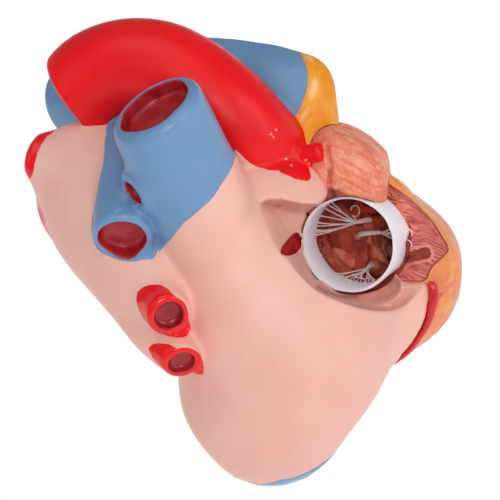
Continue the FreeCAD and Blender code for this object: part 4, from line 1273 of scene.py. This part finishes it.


# lines and outlines inside the window where shade is painted
SHADE_LINES = [(flat([(263, 205), (273, 205.5), (284, 207), (296, 209.5)]), 1.6), (flat([(300, 277), (310, 286.5), (323, 294)]), 0.2)]
DEEP_SHADE_LINES = [(flat([(318, 287), (326, 291.5), (335, 295), (346, 297), (357, 296.5)]), 0.35),
              (flat([(262, 202), (270, 204), (280, 206.5)]), 0.1)]
POCKET = flat([(326, 293), (338, 297.5), (352, 300), (375, 301.5), (388, 299), (394, 292), (396, 284), (391, 277), (380, 283), (366, 291), (350, 296),
               (338, 295.5)])
CHANNEL = flat([(345, 306.5), (358, 308.5), (374, 310), (390, 309), (402, 304.5), (409, 297), (411, 289)])


# Painted shade in the window: a little darker over its whole floor, stronger in the pocket under the ring, along the
# channel and along the shade lines.
def painted_crease_shade_zone(P):
    S = seen(P)
    inside = -polygon(S, RIM_CLOSED)
    v = -polygon(S, POCKET) + 0.2
    for line, r in SHADE_LINES:
        v = np.maximum(v, r - line_distance(S, line)[0])
    v = np.maximum(v, 1.0 - line_distance(S, CHANNEL)[0])
    floor = np.minimum(inside - 1.4, 1.0) * 0.5 - 0.9
    return np.where(inside > 0.1, np.clip(np.maximum(v, floor), -9, 3), -9.0)


# Dark painted shade along the deepest lines of the window.
def painted_deep_shade_zone(P):
    S = seen(P)
    inside = -polygon(S, RIM_CLOSED)
    v = np.full(len(P), -9.0)
    for line, r in DEEP_SHADE_LINES:
        v = np.maximum(v, r - line_distance(S, line)[0])
    return np.where(inside > 0.1, np.clip(v, -9, 3), -9.0)


def open_to(P):
    return atrial(P)["all"]


SPECKS = flat([(276, 130), (273.5, 137), (271, 134), (286, 159), (291.5, 165), (309, 164), (306, 160)])


def speck_zone(P):
    S = seen(P)
    d = np.min([np.linalg.norm(S - q, axis=1) for q in SPECKS], 0)
    return np.where(P[:, 2] > -4, np.clip(0.42 - d, -9, 1), -9.0)


HB = 0.75 * COARSE
field_piece("right_atrium", atrial_piece("right_atrium"), (-42, -76, -32), (58, 36, 44), 0.56 * COARSE, UPPER, M["pink"],
            ("right_atrium",), {"painted_crease_shade": painted_crease_shade_zone, "painted_deep_shade": painted_deep_shade_zone, "hole": hole_zone}, 40, "atrial_wall_pink")
field_piece("left_atrium", atrial_piece("left_atrium"), (-72, -48, -44), (30, 46, 34), HB, UPPER, M["pink"],
            ("left_atrium",), {}, 40, "atrial_wall_pink")
field_piece("left_auricle", atrial_piece("left_auricle"), (-54, 12, -42), (-14, 50, -12), HB, UPPER, M["pink"],
            ("left_auricle",), {}, 40, "atrial_wall_pink")
for name, vessel, material, slot, h in (
        ("superior_vena_cava", svc_v, "blue", "venous_blue", 0.46), ("azygos_vein", azy_v, "blue", "venous_blue", 0.36),
        ("inferior_vena_cava", ivc_v, "blue", "venous_blue", 0.5), ("aorta", aorta_v, "red", "arterial_red", 0.54),
        ("left_pulmonary_artery", lpa_v, "blue", "venous_blue", 0.7), ("right_pulmonary_artery", rpa_v, "blue", "venous_blue", 0.5)):
    lo, hi = box_of(vessel)
    if name == "superior_vena_cava":
        lo, hi = np.minimum(lo, (-46, -16, -4)), np.maximum(hi, (10, 54, 50))
    zones = {"lumen": lumen_zone(vessel)}
    if name == "aorta":
        zones["specks"] = speck_zone
    field_piece(name, atrial_piece(name), lo - 3, hi + 3, h * COARSE, UPPER, M[material], (name,), zones, 40, slot)
for name, vessel in VEINS.items():
    lo, hi = box_of(vessel)
    field_piece(name, atrial_piece(name), lo - 3, hi + 3, 0.4 * COARSE, UPPER, M["vein_red"], (name,), {"lumen": lumen_zone(vessel)}, 40,
                "arterial_red")
ROOT_EDGE = smooth_line(flat([(297, 36), (300, 53), (305.5, 64), (308, 76), (306.5, 90), (303, 101), (297, 114), (291, 126)]), 40)
# the trunk's yellow root, a paler cream band a little inside its edge, and a dark olive line along the edge
field_piece("pulmonary_trunk", atrial_piece("pulmonary_trunk"), pt_tube.lo - 4, pt_tube.hi + 5, 0.62 * COARSE, UPPER, M["blue"],
            ("pulmonary_trunk",), {"yellow": lambda P: np.clip(line_side(seen(P), ROOT_EDGE), -9, 9),
                                   "pale_band": lambda P: 0.9 - np.abs(line_side(seen(P), ROOT_EDGE) - 2.0) + 1.3 * noise(P, 3.0, 88) - 0.5,
                                   "joint": lambda P: 0.22 - np.abs(line_side(seen(P), ROOT_EDGE))}, 40, "venous_blue")
field_piece("right_coronary_stump", atrial_piece("right_coronary_stump"), STUMP_B - 9, STUMP_B + 7, 0.3 * COARSE, UPPER, M["red"],
            ("right_coronary_stump",), {}, 40, "arterial_red")


# ------------------------------------------------------------------ lower section
def room_zone(P):
    r = rv_room(P)
    for b in BUNDLES:
        r = smax(r, -b(P, 5.0), 1.6)
    seat = cylinder(P, RING_TOP, RING_AXIS, RING_R + 2.2) - 1.2 * ramp(-P[:, 1], 3.0, 6.0)
    seat = np.maximum(seat, np.minimum((P - RING_TOP) @ RING_AXIS - RING_H - 8.0, rv_form(P) + 3.5))
    return np.maximum(np.clip(1.3 - r, -9, 1.3), np.clip(-seat * 1.5, -9, 1.3))


# Painted highlight: lighter paint on the crests of the trabecular ridges and on the muscle bundles.
def ridge_highlight_zone(P):
    W = P + 2.2 * np.stack([noise(P, 7, 41), noise(P, 7, 42), noise(P, 7, 43)], 1)
    ridges = 1 - np.abs(noise(W * np.array((1, 0.55, 0.7)), 5.0, 44)) * 2.6
    v = (ridges - 0.32) * 2.4
    for b in BUNDLES:
        v = np.maximum(v, 0.9 - np.maximum(b(P, 5.0), 0) * 1.4)
    seat = np.maximum(np.abs(cylinder(P, RING_TOP, RING_AXIS, RING_R)) - 3.2, (P - RING_TOP) @ RING_AXIS - RING_H - 2.0)
    return np.where((room_zone(P) > -0.6) & (seat > 0), np.clip(v, -3, 3), -9)


# Painted pool of light, bright orange-red, on the chamber's far wall where light through the ring falls.
def painted_light_pool_zone(P):
    S = seen(P)
    d = np.linalg.norm((S - flat([(371, 211)])[0]) / np.array((1.35, 1.0)), axis=1)
    return np.where((room_zone(P) > -0.6) & (height(P) > -26), np.clip(4.4 - d, -9, 4), -9)


def fat_zone(P):
    d = ventricles(P)
    groove = 2.6 - np.abs(lv_form(P) - rv_form(P)) * 0.8
    top = (d["H"] + 3.4 + 3.4 * ramp(P[:, 1], -5.0, 3.0)) * 0.7
    W = P * np.array((1.0, 0.42, 0.5)) + 1.2 * np.stack([noise(P, 6, 71), noise(P, 6, 72), noise(P, 6, 73)], 1)
    streaks = 8.0 * noise(W, 1.7, 74) + 2.2 * noise(P, 5.0, 75)
    return np.where(room_zone(P) > 0, -9, np.clip(np.maximum(groove, top) + streaks - 0.6, -9, 6))


def face_polygon(P):
    return polygon(seen(P), FACE_CLOSED)


def relief_of(P):
    return fibres(P, (0.93, -0.36), 1.0, 0.95, 51)


def flat_face(P):
    """Positive on the cut face itself, not on its outer wall."""
    return (height(P) + 1.6) * 2


def bore_zone(P):
    """The wall and ledge round the foot of the ring."""
    r = cylinder(P, RING_TOP, RING_AXIS, 0.0)
    return np.where((P[:, 1] < -5.0) & (P[:, 0] < 42.5), RING_R + 3.4 - r, np.minimum(RING_R + 1.9 - r, (-0.75 - height(P)) * 2))


# Painted shade, dark red-brown, in the hollow of the cut face and round the ring's foot.
def pit_shade_zone(P):
    return np.maximum(0.15 - pit_edge(P)[0], bore_zone(P))


# Near-black painted shade deeper in the hollow and low round the ring's foot.
def pit_deep_shade_zone(P):
    e, t = pit_edge(P)
    return np.maximum(np.minimum(-e - 0.4, 1.0) + 0.9 - 2.4 * t, np.minimum(bore_zone(P), (-2.2 - height(P)) * 2))


def lip_zone(P):
    e, t = pit_edge(P)
    return np.minimum(0.35 - np.abs(e - 0.8), (t - 0.3) * 3)


FACE_ZONES = {
    "valley": lambda P: np.minimum(-relief_of(P) - 0.25, flat_face(P)),
    "crest": lambda P: np.minimum(relief_of(P) - 0.45, flat_face(P)),
    "warm": lambda P: 0.9 - line_distance(seen(P), flat([(384, 186), (390, 196), (398, 207), (405, 218), (411, 231)]))[0],
    "shade": lambda P: np.minimum(0.5 - line_distance(seen(P), flat([(391, 189), (400, 195), (410, 202.5), (420, 211.5), (428, 219.5)]))[0], flat_face(P)),
    "rim": lambda P: np.where(face_polygon(P) > -0.7, np.maximum(face_polygon(P), -flat_face(P)), -9.0),
    "skin": lambda P: np.where(face_polygon(P) > 0.6, np.clip((-4.6 - P[:, 1]) * 0.55 + (face_polygon(P) - 4.0) * 0.25
                                                              + 9.0 * noise(P * np.array((1.0, 0.42, 0.5)), 1.7, 74), -9, 4), -9.0),
    "line": lambda P: np.minimum(0.24 - np.abs(face_polygon(P) + 0.15), flat_face(P)),
    "pit_shade": pit_shade_zone, "pit_deep_shade": pit_deep_shade_zone, "lip": lip_zone,
}


# Painted shade in the dark crevice under the conus's lower edge, next to the ring's top.
def conus_gap_shade_zone(P):
    S = seen(P)
    return np.clip(0.5 - polygon(S, flat([(329, 190), (338, 191), (346, 196), (360, 198.5), (372, 202), (345, 203), (333, 203), (326, 204)])), -9, 3)


def conus_room(P):
    return np.where(height(P) < -3.0, np.clip(1.4 - rv_room(P), -9, 2), -9.0)


# The same painted pool of light where it falls on the conus's inner side.
def conus_painted_light_pool(P):
    S = seen(P)
    d = np.linalg.norm((S - flat([(371, 211)])[0]) / np.array((1.35, 1.0)), axis=1)
    return np.where((height(P) < -2.0) & (rv_room(P) < 2.0), np.clip(4.4 - d, -9, 4), -9)


CONUS_ZONES = {
    "gap_shade": conus_gap_shade_zone, "room": conus_room, "painted_light_pool": conus_painted_light_pool,
    "light": lambda P: strokes(P, 91, (0.8, -0.6), 0.95, 5.0) * 2.2 - 0.25 + 0.6 * noise(P, 6.0, 93),
    "burnt": lambda P: strokes(P, 95, (0.92, -0.4), 0.8, 4.5) * 2.2 - 0.45 + 0.8 * noise(P, 5.0, 97),
}


VENT_ZONES = {"fat": fat_zone, "room": room_zone, "ridge_highlight": ridge_highlight_zone, "painted_light_pool": painted_light_pool_zone}
field_piece("right_ventricle", vent_piece("right_ventricle"), (-12, -50, -92), (68, 36, 12), 0.62 * COARSE, LOWER, M["muscle"],
            ("right_ventricle",), VENT_ZONES, 45, "ventricle_muscle")
field_piece("right_ventricle_cut_face", vent_piece("right_ventricle_face"), (-12, -46, -26), (68, 30, 12), 0.32 * COARSE, LOWER,
            M["face"], (), FACE_ZONES, 60, "ventricle_muscle")
field_piece("left_ventricle", vent_piece("left_ventricle"), (-32, -36, -106), (62, 32, 4), 0.75 * COARSE, LOWER, M["muscle"],
            ("left_ventricle",), VENT_ZONES, 45, "ventricle_muscle")
field_piece("conus_arteriosus", vent_piece("conus_arteriosus"), (0, 2, -44), (48, 46, 16), 0.4 * COARSE, LOWER, M["conus"],
            ("conus_arteriosus",), CONUS_ZONES, 50, "conus_muscle", cavity=lambda P: ventricles(P)["all"])


# ------------------------------------------------------------------ swept strands
def sweep(path, radii, sides=10, closed_ends=True, flatten=1.0, seed=0):
    p = np.asarray(path, float)
    n = len(p)
    t = np.gradient(p, axis=0)
    t /= np.linalg.norm(t, axis=1, keepdims=True)
    ref = np.array((0.13, 0.31, 0.94))
    V, F = [], []
    a = unit(np.cross(ref, t[0]))
    for i in range(n):
        a = unit(a - t[i] * (a @ t[i]))
        b = np.cross(t[i], a)
        ang = np.linspace(0, 2 * math.pi, sides, endpoint=False)
        V.append(p[i] + radii[i] * (np.cos(ang)[:, None] * a + np.sin(ang)[:, None] * b * flatten))
    V = np.concatenate(V)
    for i in range(n - 1):
        for k in range(sides):
            m = (k + 1) % sides
            F.append((i * sides + k, i * sides + m, (i + 1) * sides + m, (i + 1) * sides + k))
    c0, c1 = len(V), len(V) + 1
    V = np.vstack([V, p[0] - t[0] * radii[0] * 0.5, p[-1] + t[-1] * radii[-1] * 0.5])
    for k in range(sides):
        m = (k + 1) % sides
        F.append((c0, m, k, k))
        F.append((c1, (n - 1) * sides + k, (n - 1) * sides + m, (n - 1) * sides + m))
    return V, F


def join(parts):
    V, F, base = [], [], 0
    for v, f in parts:
        V.append(v)
        F += [tuple(dict.fromkeys(i + base for i in q)) for q in f]
        base += len(v)
    return np.concatenate(V), F


def add_swept(name, parts, body, material, replaces, slot):
    V, F = join(parts)
    return add_mesh(name, V, F, body, material, replaces, None, 60, slot)


RNG2 = np.random.RandomState(914)


def bezier(a, b, c, n=14):
    t = np.linspace(0, 1, n)[:, None]
    return a * (1 - t) ** 2 + 2 * b * t * (1 - t) + c * t * t


RA_ = unit(np.cross((0, 1, 0), RING_AXIS))
RB_ = np.cross(RING_AXIS, RA_)


def ring_foot(deg, depth, r=RING_R - 0.9):
    t = math.radians(deg)
    return RING_TOP + RING_AXIS * depth + RA_ * (r * math.cos(t)) + RB_ * (r * math.sin(t))


def foot_seen(px, py, depth=RING_H - 1.0):
    """Foot on the ring's inner wall nearest to a place seen from the front."""
    target = flat([(px, py)])[0]
    best = min(range(0, 720), key=lambda k: np.linalg.norm(seen(ring_foot(k / 2, depth)[None])[0] - target))
    return ring_foot(best / 2, depth)


CLUSTERS = {
    # tip (px, py, w), where the strands leave the white end piece, feet on the ring
    "anterior": (at(371, 219.5, -16.5), at(356, 222.5, -14.5),
                 [(339, 211), (334, 215), (329, 220), (326, 225), (322, 231), (323, 235)]),
    "septal": (at(359, 234.5, -18.0), at(381, 232.5, -13.5), [(395, 224), (397, 229), (398, 234), (397, 240)]),
    "posterior": (at(373, 264.5, -17.5), at(368, 268, -15.5),
                  [(333, 279), (340, 281), (347, 283), (356, 284), (365, 284), (374, 283)]),
}
for key, (tip, leave, feet) in CLUSTERS.items():
    parts = []
    trunk = bezier(tip, (tip + leave) / 2 + np.array((0, 0.3, 0.4)), leave, 8)
    parts.append(sweep(trunk, np.linspace(0.95, 0.62, 8), 10, flatten=0.6))
    for i, (px, py) in enumerate(feet):
        foot = foot_seen(px, py)
        mid = (leave + foot) / 2 + (RNG2.rand(3) - 0.5) * 1.6 + np.array((0, -0.7, 0))
        line = bezier(leave, mid, foot, 18)
        line[4:-4] += (RNG2.rand(10, 3) - 0.5) * 0.16
        parts.append(sweep(line, np.concatenate([np.linspace(0.34, 0.2, 14), [0.2, 0.22, 0.28, 0.4]]), 8))
        if RNG2.rand() > 0.35:
            j = 6 + int(RNG2.rand() * 4)
            px2, py2 = feet[(i + 1) % len(feet)] if i + 1 < len(feet) else feet[i - 1]
            f2 = (foot + foot_seen(px2, py2)) / 2
            f2 = RING_TOP + (f2 - RING_TOP) + unit((f2 - RING_TOP) - RING_AXIS * ((f2 - RING_TOP) @ RING_AXIS)) * 0.3
            parts.append(sweep(bezier(line[j], (line[j] + f2) / 2 + (RNG2.rand(3) - 0.5) * 1.0, f2, 12),
                               np.linspace(0.24, 0.2, 12), 8))
    if key == "anterior":
        c = at(355, 211, -14.5)
        loop = np.array([c + np.array((1.35 * math.cos(a), 1.7 * math.sin(a), 0.6 * math.sin(2 * a)))
                         for a in np.linspace(-2.2, 3.0, 30)])
        parts.append(sweep(loop, np.full(30, 0.22), 8))
        parts.append(sweep(bezier(loop[0], (loop[0] + leave) / 2 + 0.4, leave, 8), np.full(8, 0.26), 8))
    if key == "posterior":
        for (ax_, ay_), (bx, by) in (((352, 274), (365, 279)), ((343, 276), (352, 281)), ((367, 272), (377, 281))):
            parts.append(sweep(bezier(at(ax_, ay_, -12.5), at((ax_ + bx) / 2, (ay_ + by) / 2 + 2, -11.5), at(bx, by, -10.5), 12),
                               np.linspace(0.22, 0.2, 12), 8))
    add_swept(key + "_chordae", parts, LOWER, M["strand"], (key + "_chordae",), "chordae_white")


# ------------------------------------------------------------------ papillary muscles
def muscle(name, tip, base, bulge, r0, r1, seed):
    mid = (tip + base) / 2 + np.asarray(bulge, float)
    tube = Tube([tip, mid, base], [r0, (r0 + r1) * 0.52, r1], 60)

    def f(P):
        body = tube(P)
        q = P - tip
        ax = unit(base - tip)
        e = noise(P - np.outer(q @ ax, ax) * 0.7, 1.7, seed)
        out = body + 0.34 * e + 0.3 * noise(P, 3.6, seed + 1)
        return np.maximum(out, -(rv_room(P) + 7.0) * -1 - 9)

    lo, hi = tube.lo - 2, tube.hi + 2
    field_piece(name, f, lo, hi, 0.4 * COARSE, LOWER, M["papillary"], (name,), {}, 60, "papillary_muscle")


muscle("anterior_papillary_muscle", at(369, 225, -19.2), np.array((56, 11, -45)), (0, 0.5, 1.0), 2.3, 5.2, 71)
muscle("septal_papillary_muscle", at(357.5, 236, -19.6), np.array((44, 3, -40)), (0, 0.2, 0.4), 1.5, 4.2, 73)
muscle("posterior_papillary_muscle", at(375, 267, -19.5), np.array((54, -17, -45)), (0.4, 0, 0.8), 2.2, 5.0, 75)


# ------------------------------------------------------------------ valve ring
def make_ring():
    nt, nz = (900), 16
    th = np.linspace(0, 2 * math.pi, nt, endpoint=False)
    section = []
    for k in range(nz + 1):
        section.append((1, k / nz))             # outer wall from the near rim to the far rim
    for k in range(nz + 1):
        section.append((0, 1 - k / nz))         # inner wall back again
    V = np.zeros((len(section), nt, 3))
    base = np.cos(th)[:, None] * RA_ + np.sin(th)[:, None] * RB_
    img = np.degrees(np.arctan2(base[:, 1], base[:, 0]))
    order = np.argsort(img)
    far = np.interp(img, [-180, -100, -72, -52, -36, -20, -7, 2, 8, 16, 30, 50, 100, 180],
                    [0, 0, 0.2, -0.2, 0.8, 0.4, 0.0, 0.9, 1.5, 1.0, 0.2, 0.2, 0, 0])
    wobble = 0.16 * np.sin(3 * th + 0.6) + 0.1 * np.sin(7 * th + 2.0)
    edge = 0.10 * np.sin(11 * th) + 0.08 * np.sin(17 * th + 1.3)
    for s, (outer, t) in enumerate(section):
        r = (RING_R if outer else RING_R - 0.95) + wobble * (0.4 + 0.6 * t) + far * t ** 2.2
        e = min(t, 1 - t) * RING_H
        r = r + (-0.16 if outer else 0.16) * math.exp(-(e / 0.3) ** 2)
        depth = t * (RING_H - 0.3) + edge * (1 - t) + 0.1
        pts = RING_TOP + RING_AXIS * depth[:, None] + base * r[:, None]
        rib = 0.055 * np.sin(th * 190 + 1.2 * noise(pts, 2.4, 81)) * (0.45 + 0.55 * noise(pts, 3.5, 82))
        cross = 0.035 * np.sin(t * 60 + 2.0 * noise(pts, 2.0, 83))
        V[s] = pts + base * ((rib + cross) * (1 if outer else -1))[:, None]
    S = len(section)
    idx = np.arange(S * nt).reshape(S, nt)
    quads = []
    for s in range(S):
        a, b = idx[s], idx[(s + 1) % S]
        quads.append(np.stack([a, np.roll(a, -1), np.roll(b, -1), b], 1))
    Q = np.concatenate(quads)[:, ::-1]
    V = V.reshape(-1, 3)
    # face outwards
    c = V[Q].mean(1)
    nrm = np.cross(V[Q[:, 1]] - V[Q[:, 0]], V[Q[:, 2]] - V[Q[:, 0]])
    s_out = slice(0, nt)
    if (nrm[s_out] * (c[s_out] - RING_TOP)).sum() < 0:
        Q = Q[:, ::-1]
    add_mesh("tricuspid_valve_ring", V, Q, LOWER, M["ring"], ("tricuspid_valve_ring",), None, 50, "valve_fabric")


make_ring()
frays = []
for (x0, y0, w0), (x1, y1, w1), (x2, y2, w2) in (((407.5, 239.5, -2.4), (413.5, 243, -0.8), (410.5, 248.5, -2.2)), ((409.5, 229, -2.2), (412.5, 232, -1.1), (411.8, 236.5, -2.2))):
    frays.append(sweep(bezier(at(x0, y0, w0), at(x1, y1, w1), at(x2, y2, w2), 10), np.linspace(0.15, 0.1, 10), 6))
add_swept("ring_loose_fibres", frays, LOWER, M["ring"], (), "valve_fabric")


# ------------------------------------------------------------------ vessels on the ventricles
AX_TOP, AX_LOW = np.array((16.0, -4.0, -22.0)), np.array((44.0, 2.0, -76.0))


def skin(start, aim, lift):
    d = unit(aim - start)
    t = np.arange(0, 110, 0.1)
    P = start + t[:, None] * d
    inside = ventricles(P)["all"] < 0
    last = np.nonzero(inside)[0].max() if inside.any() else 0
    return start + d * (t[last] + lift)


def down_surface(samples, lift):
    az = unit(AX_LOW - AX_TOP)
    ax = unit(np.cross((0, 1, 0), az))
    ay = np.cross(az, ax)
    s = smooth_line(samples, 44)
    return np.array([skin(AX_TOP + (AX_LOW - AX_TOP) * f, AX_TOP + (AX_LOW - AX_TOP) * f + ax * math.cos(math.radians(g))
                          + ay * math.sin(math.radians(g)), lift) for f, g in s])


def round_base(degs, drop, lift):
    c = on_plane(14.0, -4.0, -drop)
    ax = unit(np.cross((0, 1, 0), N))
    ay = np.cross(N, ax)
    g = np.linspace(degs[0], degs[-1], 44)
    return np.array([skin(c, c + ax * math.cos(math.radians(k)) + ay * math.sin(math.radians(k)), lift) for k in g])


def soft(path):
    p = np.array(path)
    for _ in range(3):
        p[1:-1] = p[1:-1] * 0.5 + (p[:-2] + p[2:]) * 0.25
    return p


for name, path, r0, r1, mat, slot in (
        ("left_anterior_descending_artery", down_surface([(0.22, 84), (0.3, 79), (0.38, 74), (0.5, 67), (0.65, 60), (0.8, 54), (0.93, 46)], 0.5), 1.9, 1.1, "coronary", "arterial_red"),
        ("great_cardiac_vein", down_surface([(0.26, 91), (0.33, 87), (0.42, 81), (0.52, 75), (0.66, 68), (0.8, 63)], 0.5), 1.8, 1.1, "cardiac_vein", "venous_blue"),
        ("posterior_interventricular_artery", down_surface([(0.1, 262), (0.22, 266), (0.36, 272), (0.52, 278), (0.68, 286), (0.84, 296)], 0.5), 1.8, 1.1, "coronary", "arterial_red"),
        ("middle_cardiac_vein", down_surface([(0.1, 252), (0.22, 257), (0.36, 263), (0.52, 269), (0.68, 276)], 0.5), 1.9, 1.1, "cardiac_vein", "venous_blue"),
        ("circumflex_artery", round_base([112, 216], 2.9, 0.5), 1.8, 1.2, "coronary", "arterial_red"),
        ("coronary_sinus", round_base([178, 244], 7.0, 0.2), 2.3, 3.0, "cardiac_vein", "venous_blue")):
    path = soft(path)
    add_swept(name, [sweep(path, np.linspace(r0, r1, len(path)), 16)], LOWER, M[mat], (name,), slot)

RCA = smooth_line([at(430.5, 282.8, 1.1), at(433.5, 290, 0.9), at(434, 298, 0.3), at(432, 307, -0.7), at(429.8, 315.5, -1.7), at(427, 323.5, -2.8),
                   at(420.5, 335, -5.0), at(413, 346, -7.6), at(403, 356, -10.6), at(384, 366, -12.8), at(362, 370, -16)], 70)
radii = np.interp(np.linspace(0, 1, 70), [0, 0.03, 0.1, 0.2, 0.34, 0.45, 0.58, 0.68, 1], [1.0, 1.35, 1.6, 1.5, 1.2, 1.0, 0.9, 0.8, 1.1])
add_swept("right_coronary_artery", [sweep(RCA, radii, 20)], LOWER, M["coronary"], ("right_coronary_artery",), "arterial_red")

# ------------------------------------------------------------------ the pieces kept from the solid model
for name, key in (("stand_bush", "brass"), ("locating_pegs", "peg"), ("ventricle_magnet", "steel"), ("atrial_magnet", "steel"),
                  ("mitral_valve_ring", "ring"), ("anterolateral_papillary_muscle", "papillary"), ("posteromedial_papillary_muscle", "papillary"),
                  ("mitral_chordae", "strand")):
    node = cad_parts[name]
    node.data.materials.clear()
    node.data.materials.append(M[key])


def tucked_valve(name, scale, way, other):
    """The valve's cusps, a little smaller and drawn inside the vessel that holds them."""
    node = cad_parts[name]
    me = node.data
    co = np.empty(len(me.vertices) * 3, np.float32)
    me.vertices.foreach_get("co", co)
    mw = np.array(node.matrix_world)
    row = co.reshape(-1, 3) @ mw[:3, :3].T + mw[:3, 3]
    P = row * 1000 @ ROW + MOUTH
    centre = P.mean(0)
    Q = centre + (P - centre) * scale
    way = unit(np.array(way, float))
    for step in np.arange(0, 18, 0.5):
        T = Q + way * step
        if np.maximum(atrial(T)["all"], other(T)).max() < -0.4:
            break
    faces = [tuple(f.vertices) for f in me.polygons]
    add_mesh(name, T, faces, UPPER, M["cusp"], (name,), None, 40, "valve_cusp")


tucked_valve("pulmonary_valve_cusps", 0.78, (-0.1, 1.0, -0.1), lambda P: 0.3 - conus_solid(P))
tucked_valve("aortic_valve_cusps", 0.8, N, lambda P: -conus_form(P, 0.7))

# ------------------------------------------------------------------ floor, light, camera
scene = bpy.context.scene


def make_floor():
    n = 64
    r = 6.0
    V, F = [(0, 0, 0)], []
    for k in range(n):
        a = 2 * math.pi * k / n
        V.append((r * math.cos(a), r * math.sin(a), 0))
    for k in range(n):
        F.append((0, 1 + k, 1 + (k + 1) % n))
    me = bpy.data.meshes.new("floor")
    me.from_pydata([(x, y, -0.12) for x, y, z in V], [], F)
    me.update()
    ob = bpy.data.objects.new("floor", me)
    scene.collection.objects.link(ob)
    m = bpy.data.materials.new("pale_floor")
    m.use_nodes = True
    t = m.node_tree
    t.nodes.clear()
    out = t.nodes.new("ShaderNodeOutputMaterial")
    e = t.nodes.new("ShaderNodeEmission")
    noise_ = t.nodes.new("ShaderNodeTexNoise")
    noise_.inputs["Scale"].default_value = 3.0
    mr = t.nodes.new("ShaderNodeMapRange")
    mr.inputs["To Min"].default_value = 1.02
    mr.inputs["To Max"].default_value = 1.06
    t.links.new(noise_.outputs["Fac"], mr.inputs["Value"])
    t.links.new(mr.outputs[0], e.inputs["Strength"])
    t.links.new(e.outputs[0], out.inputs[0])
    me.materials.append(m)


make_floor()
CENTRE = to_row((0, -2, -10))


def softbox(name, bench, size, power, colour=(1, 1, 1)):
    light = bpy.data.lights.new(name, "AREA")
    light.shape = "DISK"
    light.size = size
    light.energy = power
    light.color = colour
    ob = bpy.data.objects.new(name, light)
    scene.collection.objects.link(ob)
    ob.location = Vector(to_row(bench))
    ob.rotation_mode = "QUATERNION"
    ob.rotation_quaternion = (Vector(CENTRE) - ob.location).to_track_quat("-Z", "Y")


softbox("softbox_top", (-120, 520, 420), 0.55, 0.95)
softbox("softbox_right", (480, 200, 460), 0.45, 1.2)
softbox("softbox_left", (-520, 120, 380), 0.5, 0.38)
softbox("softbox_front", (10, 40, 760), 0.3, 1.58)
world = bpy.data.worlds.new("studio")
scene.world = world
world.use_nodes = True
world.node_tree.nodes["Background"].inputs[0].default_value = (1, 1, 1, 1)
world.node_tree.nodes["Background"].inputs[1].default_value = 0.25
scene.view_settings.view_transform = "Standard"
scene.view_settings.look = "None"
scene.view_settings.exposure = 0.0

cam = bpy.data.cameras.new("camera")
cam.sensor_width = 36.0
cam.lens = 144.0
cam.dof.use_dof = False
cam.clip_start, cam.clip_end = 0.02, 50.0
camera = bpy.data.objects.new("camera", cam)
scene.collection.objects.link(camera)
right, up_, back = Vector(ROW[:, 0]), Vector(ROW[:, 1]), Vector(ROW[:, 2])
back = back.normalized()
right = (right - back * right.dot(back)).normalized()
up_ = back.cross(right)
m = Matrix((right, up_, back)).transposed().to_4x4()
m.translation = Vector(to_row((0, 0, CAMERA_MM)))
camera.matrix_world = m
scene.camera = camera

print("built in %.1f s" % (time.time() - T0))
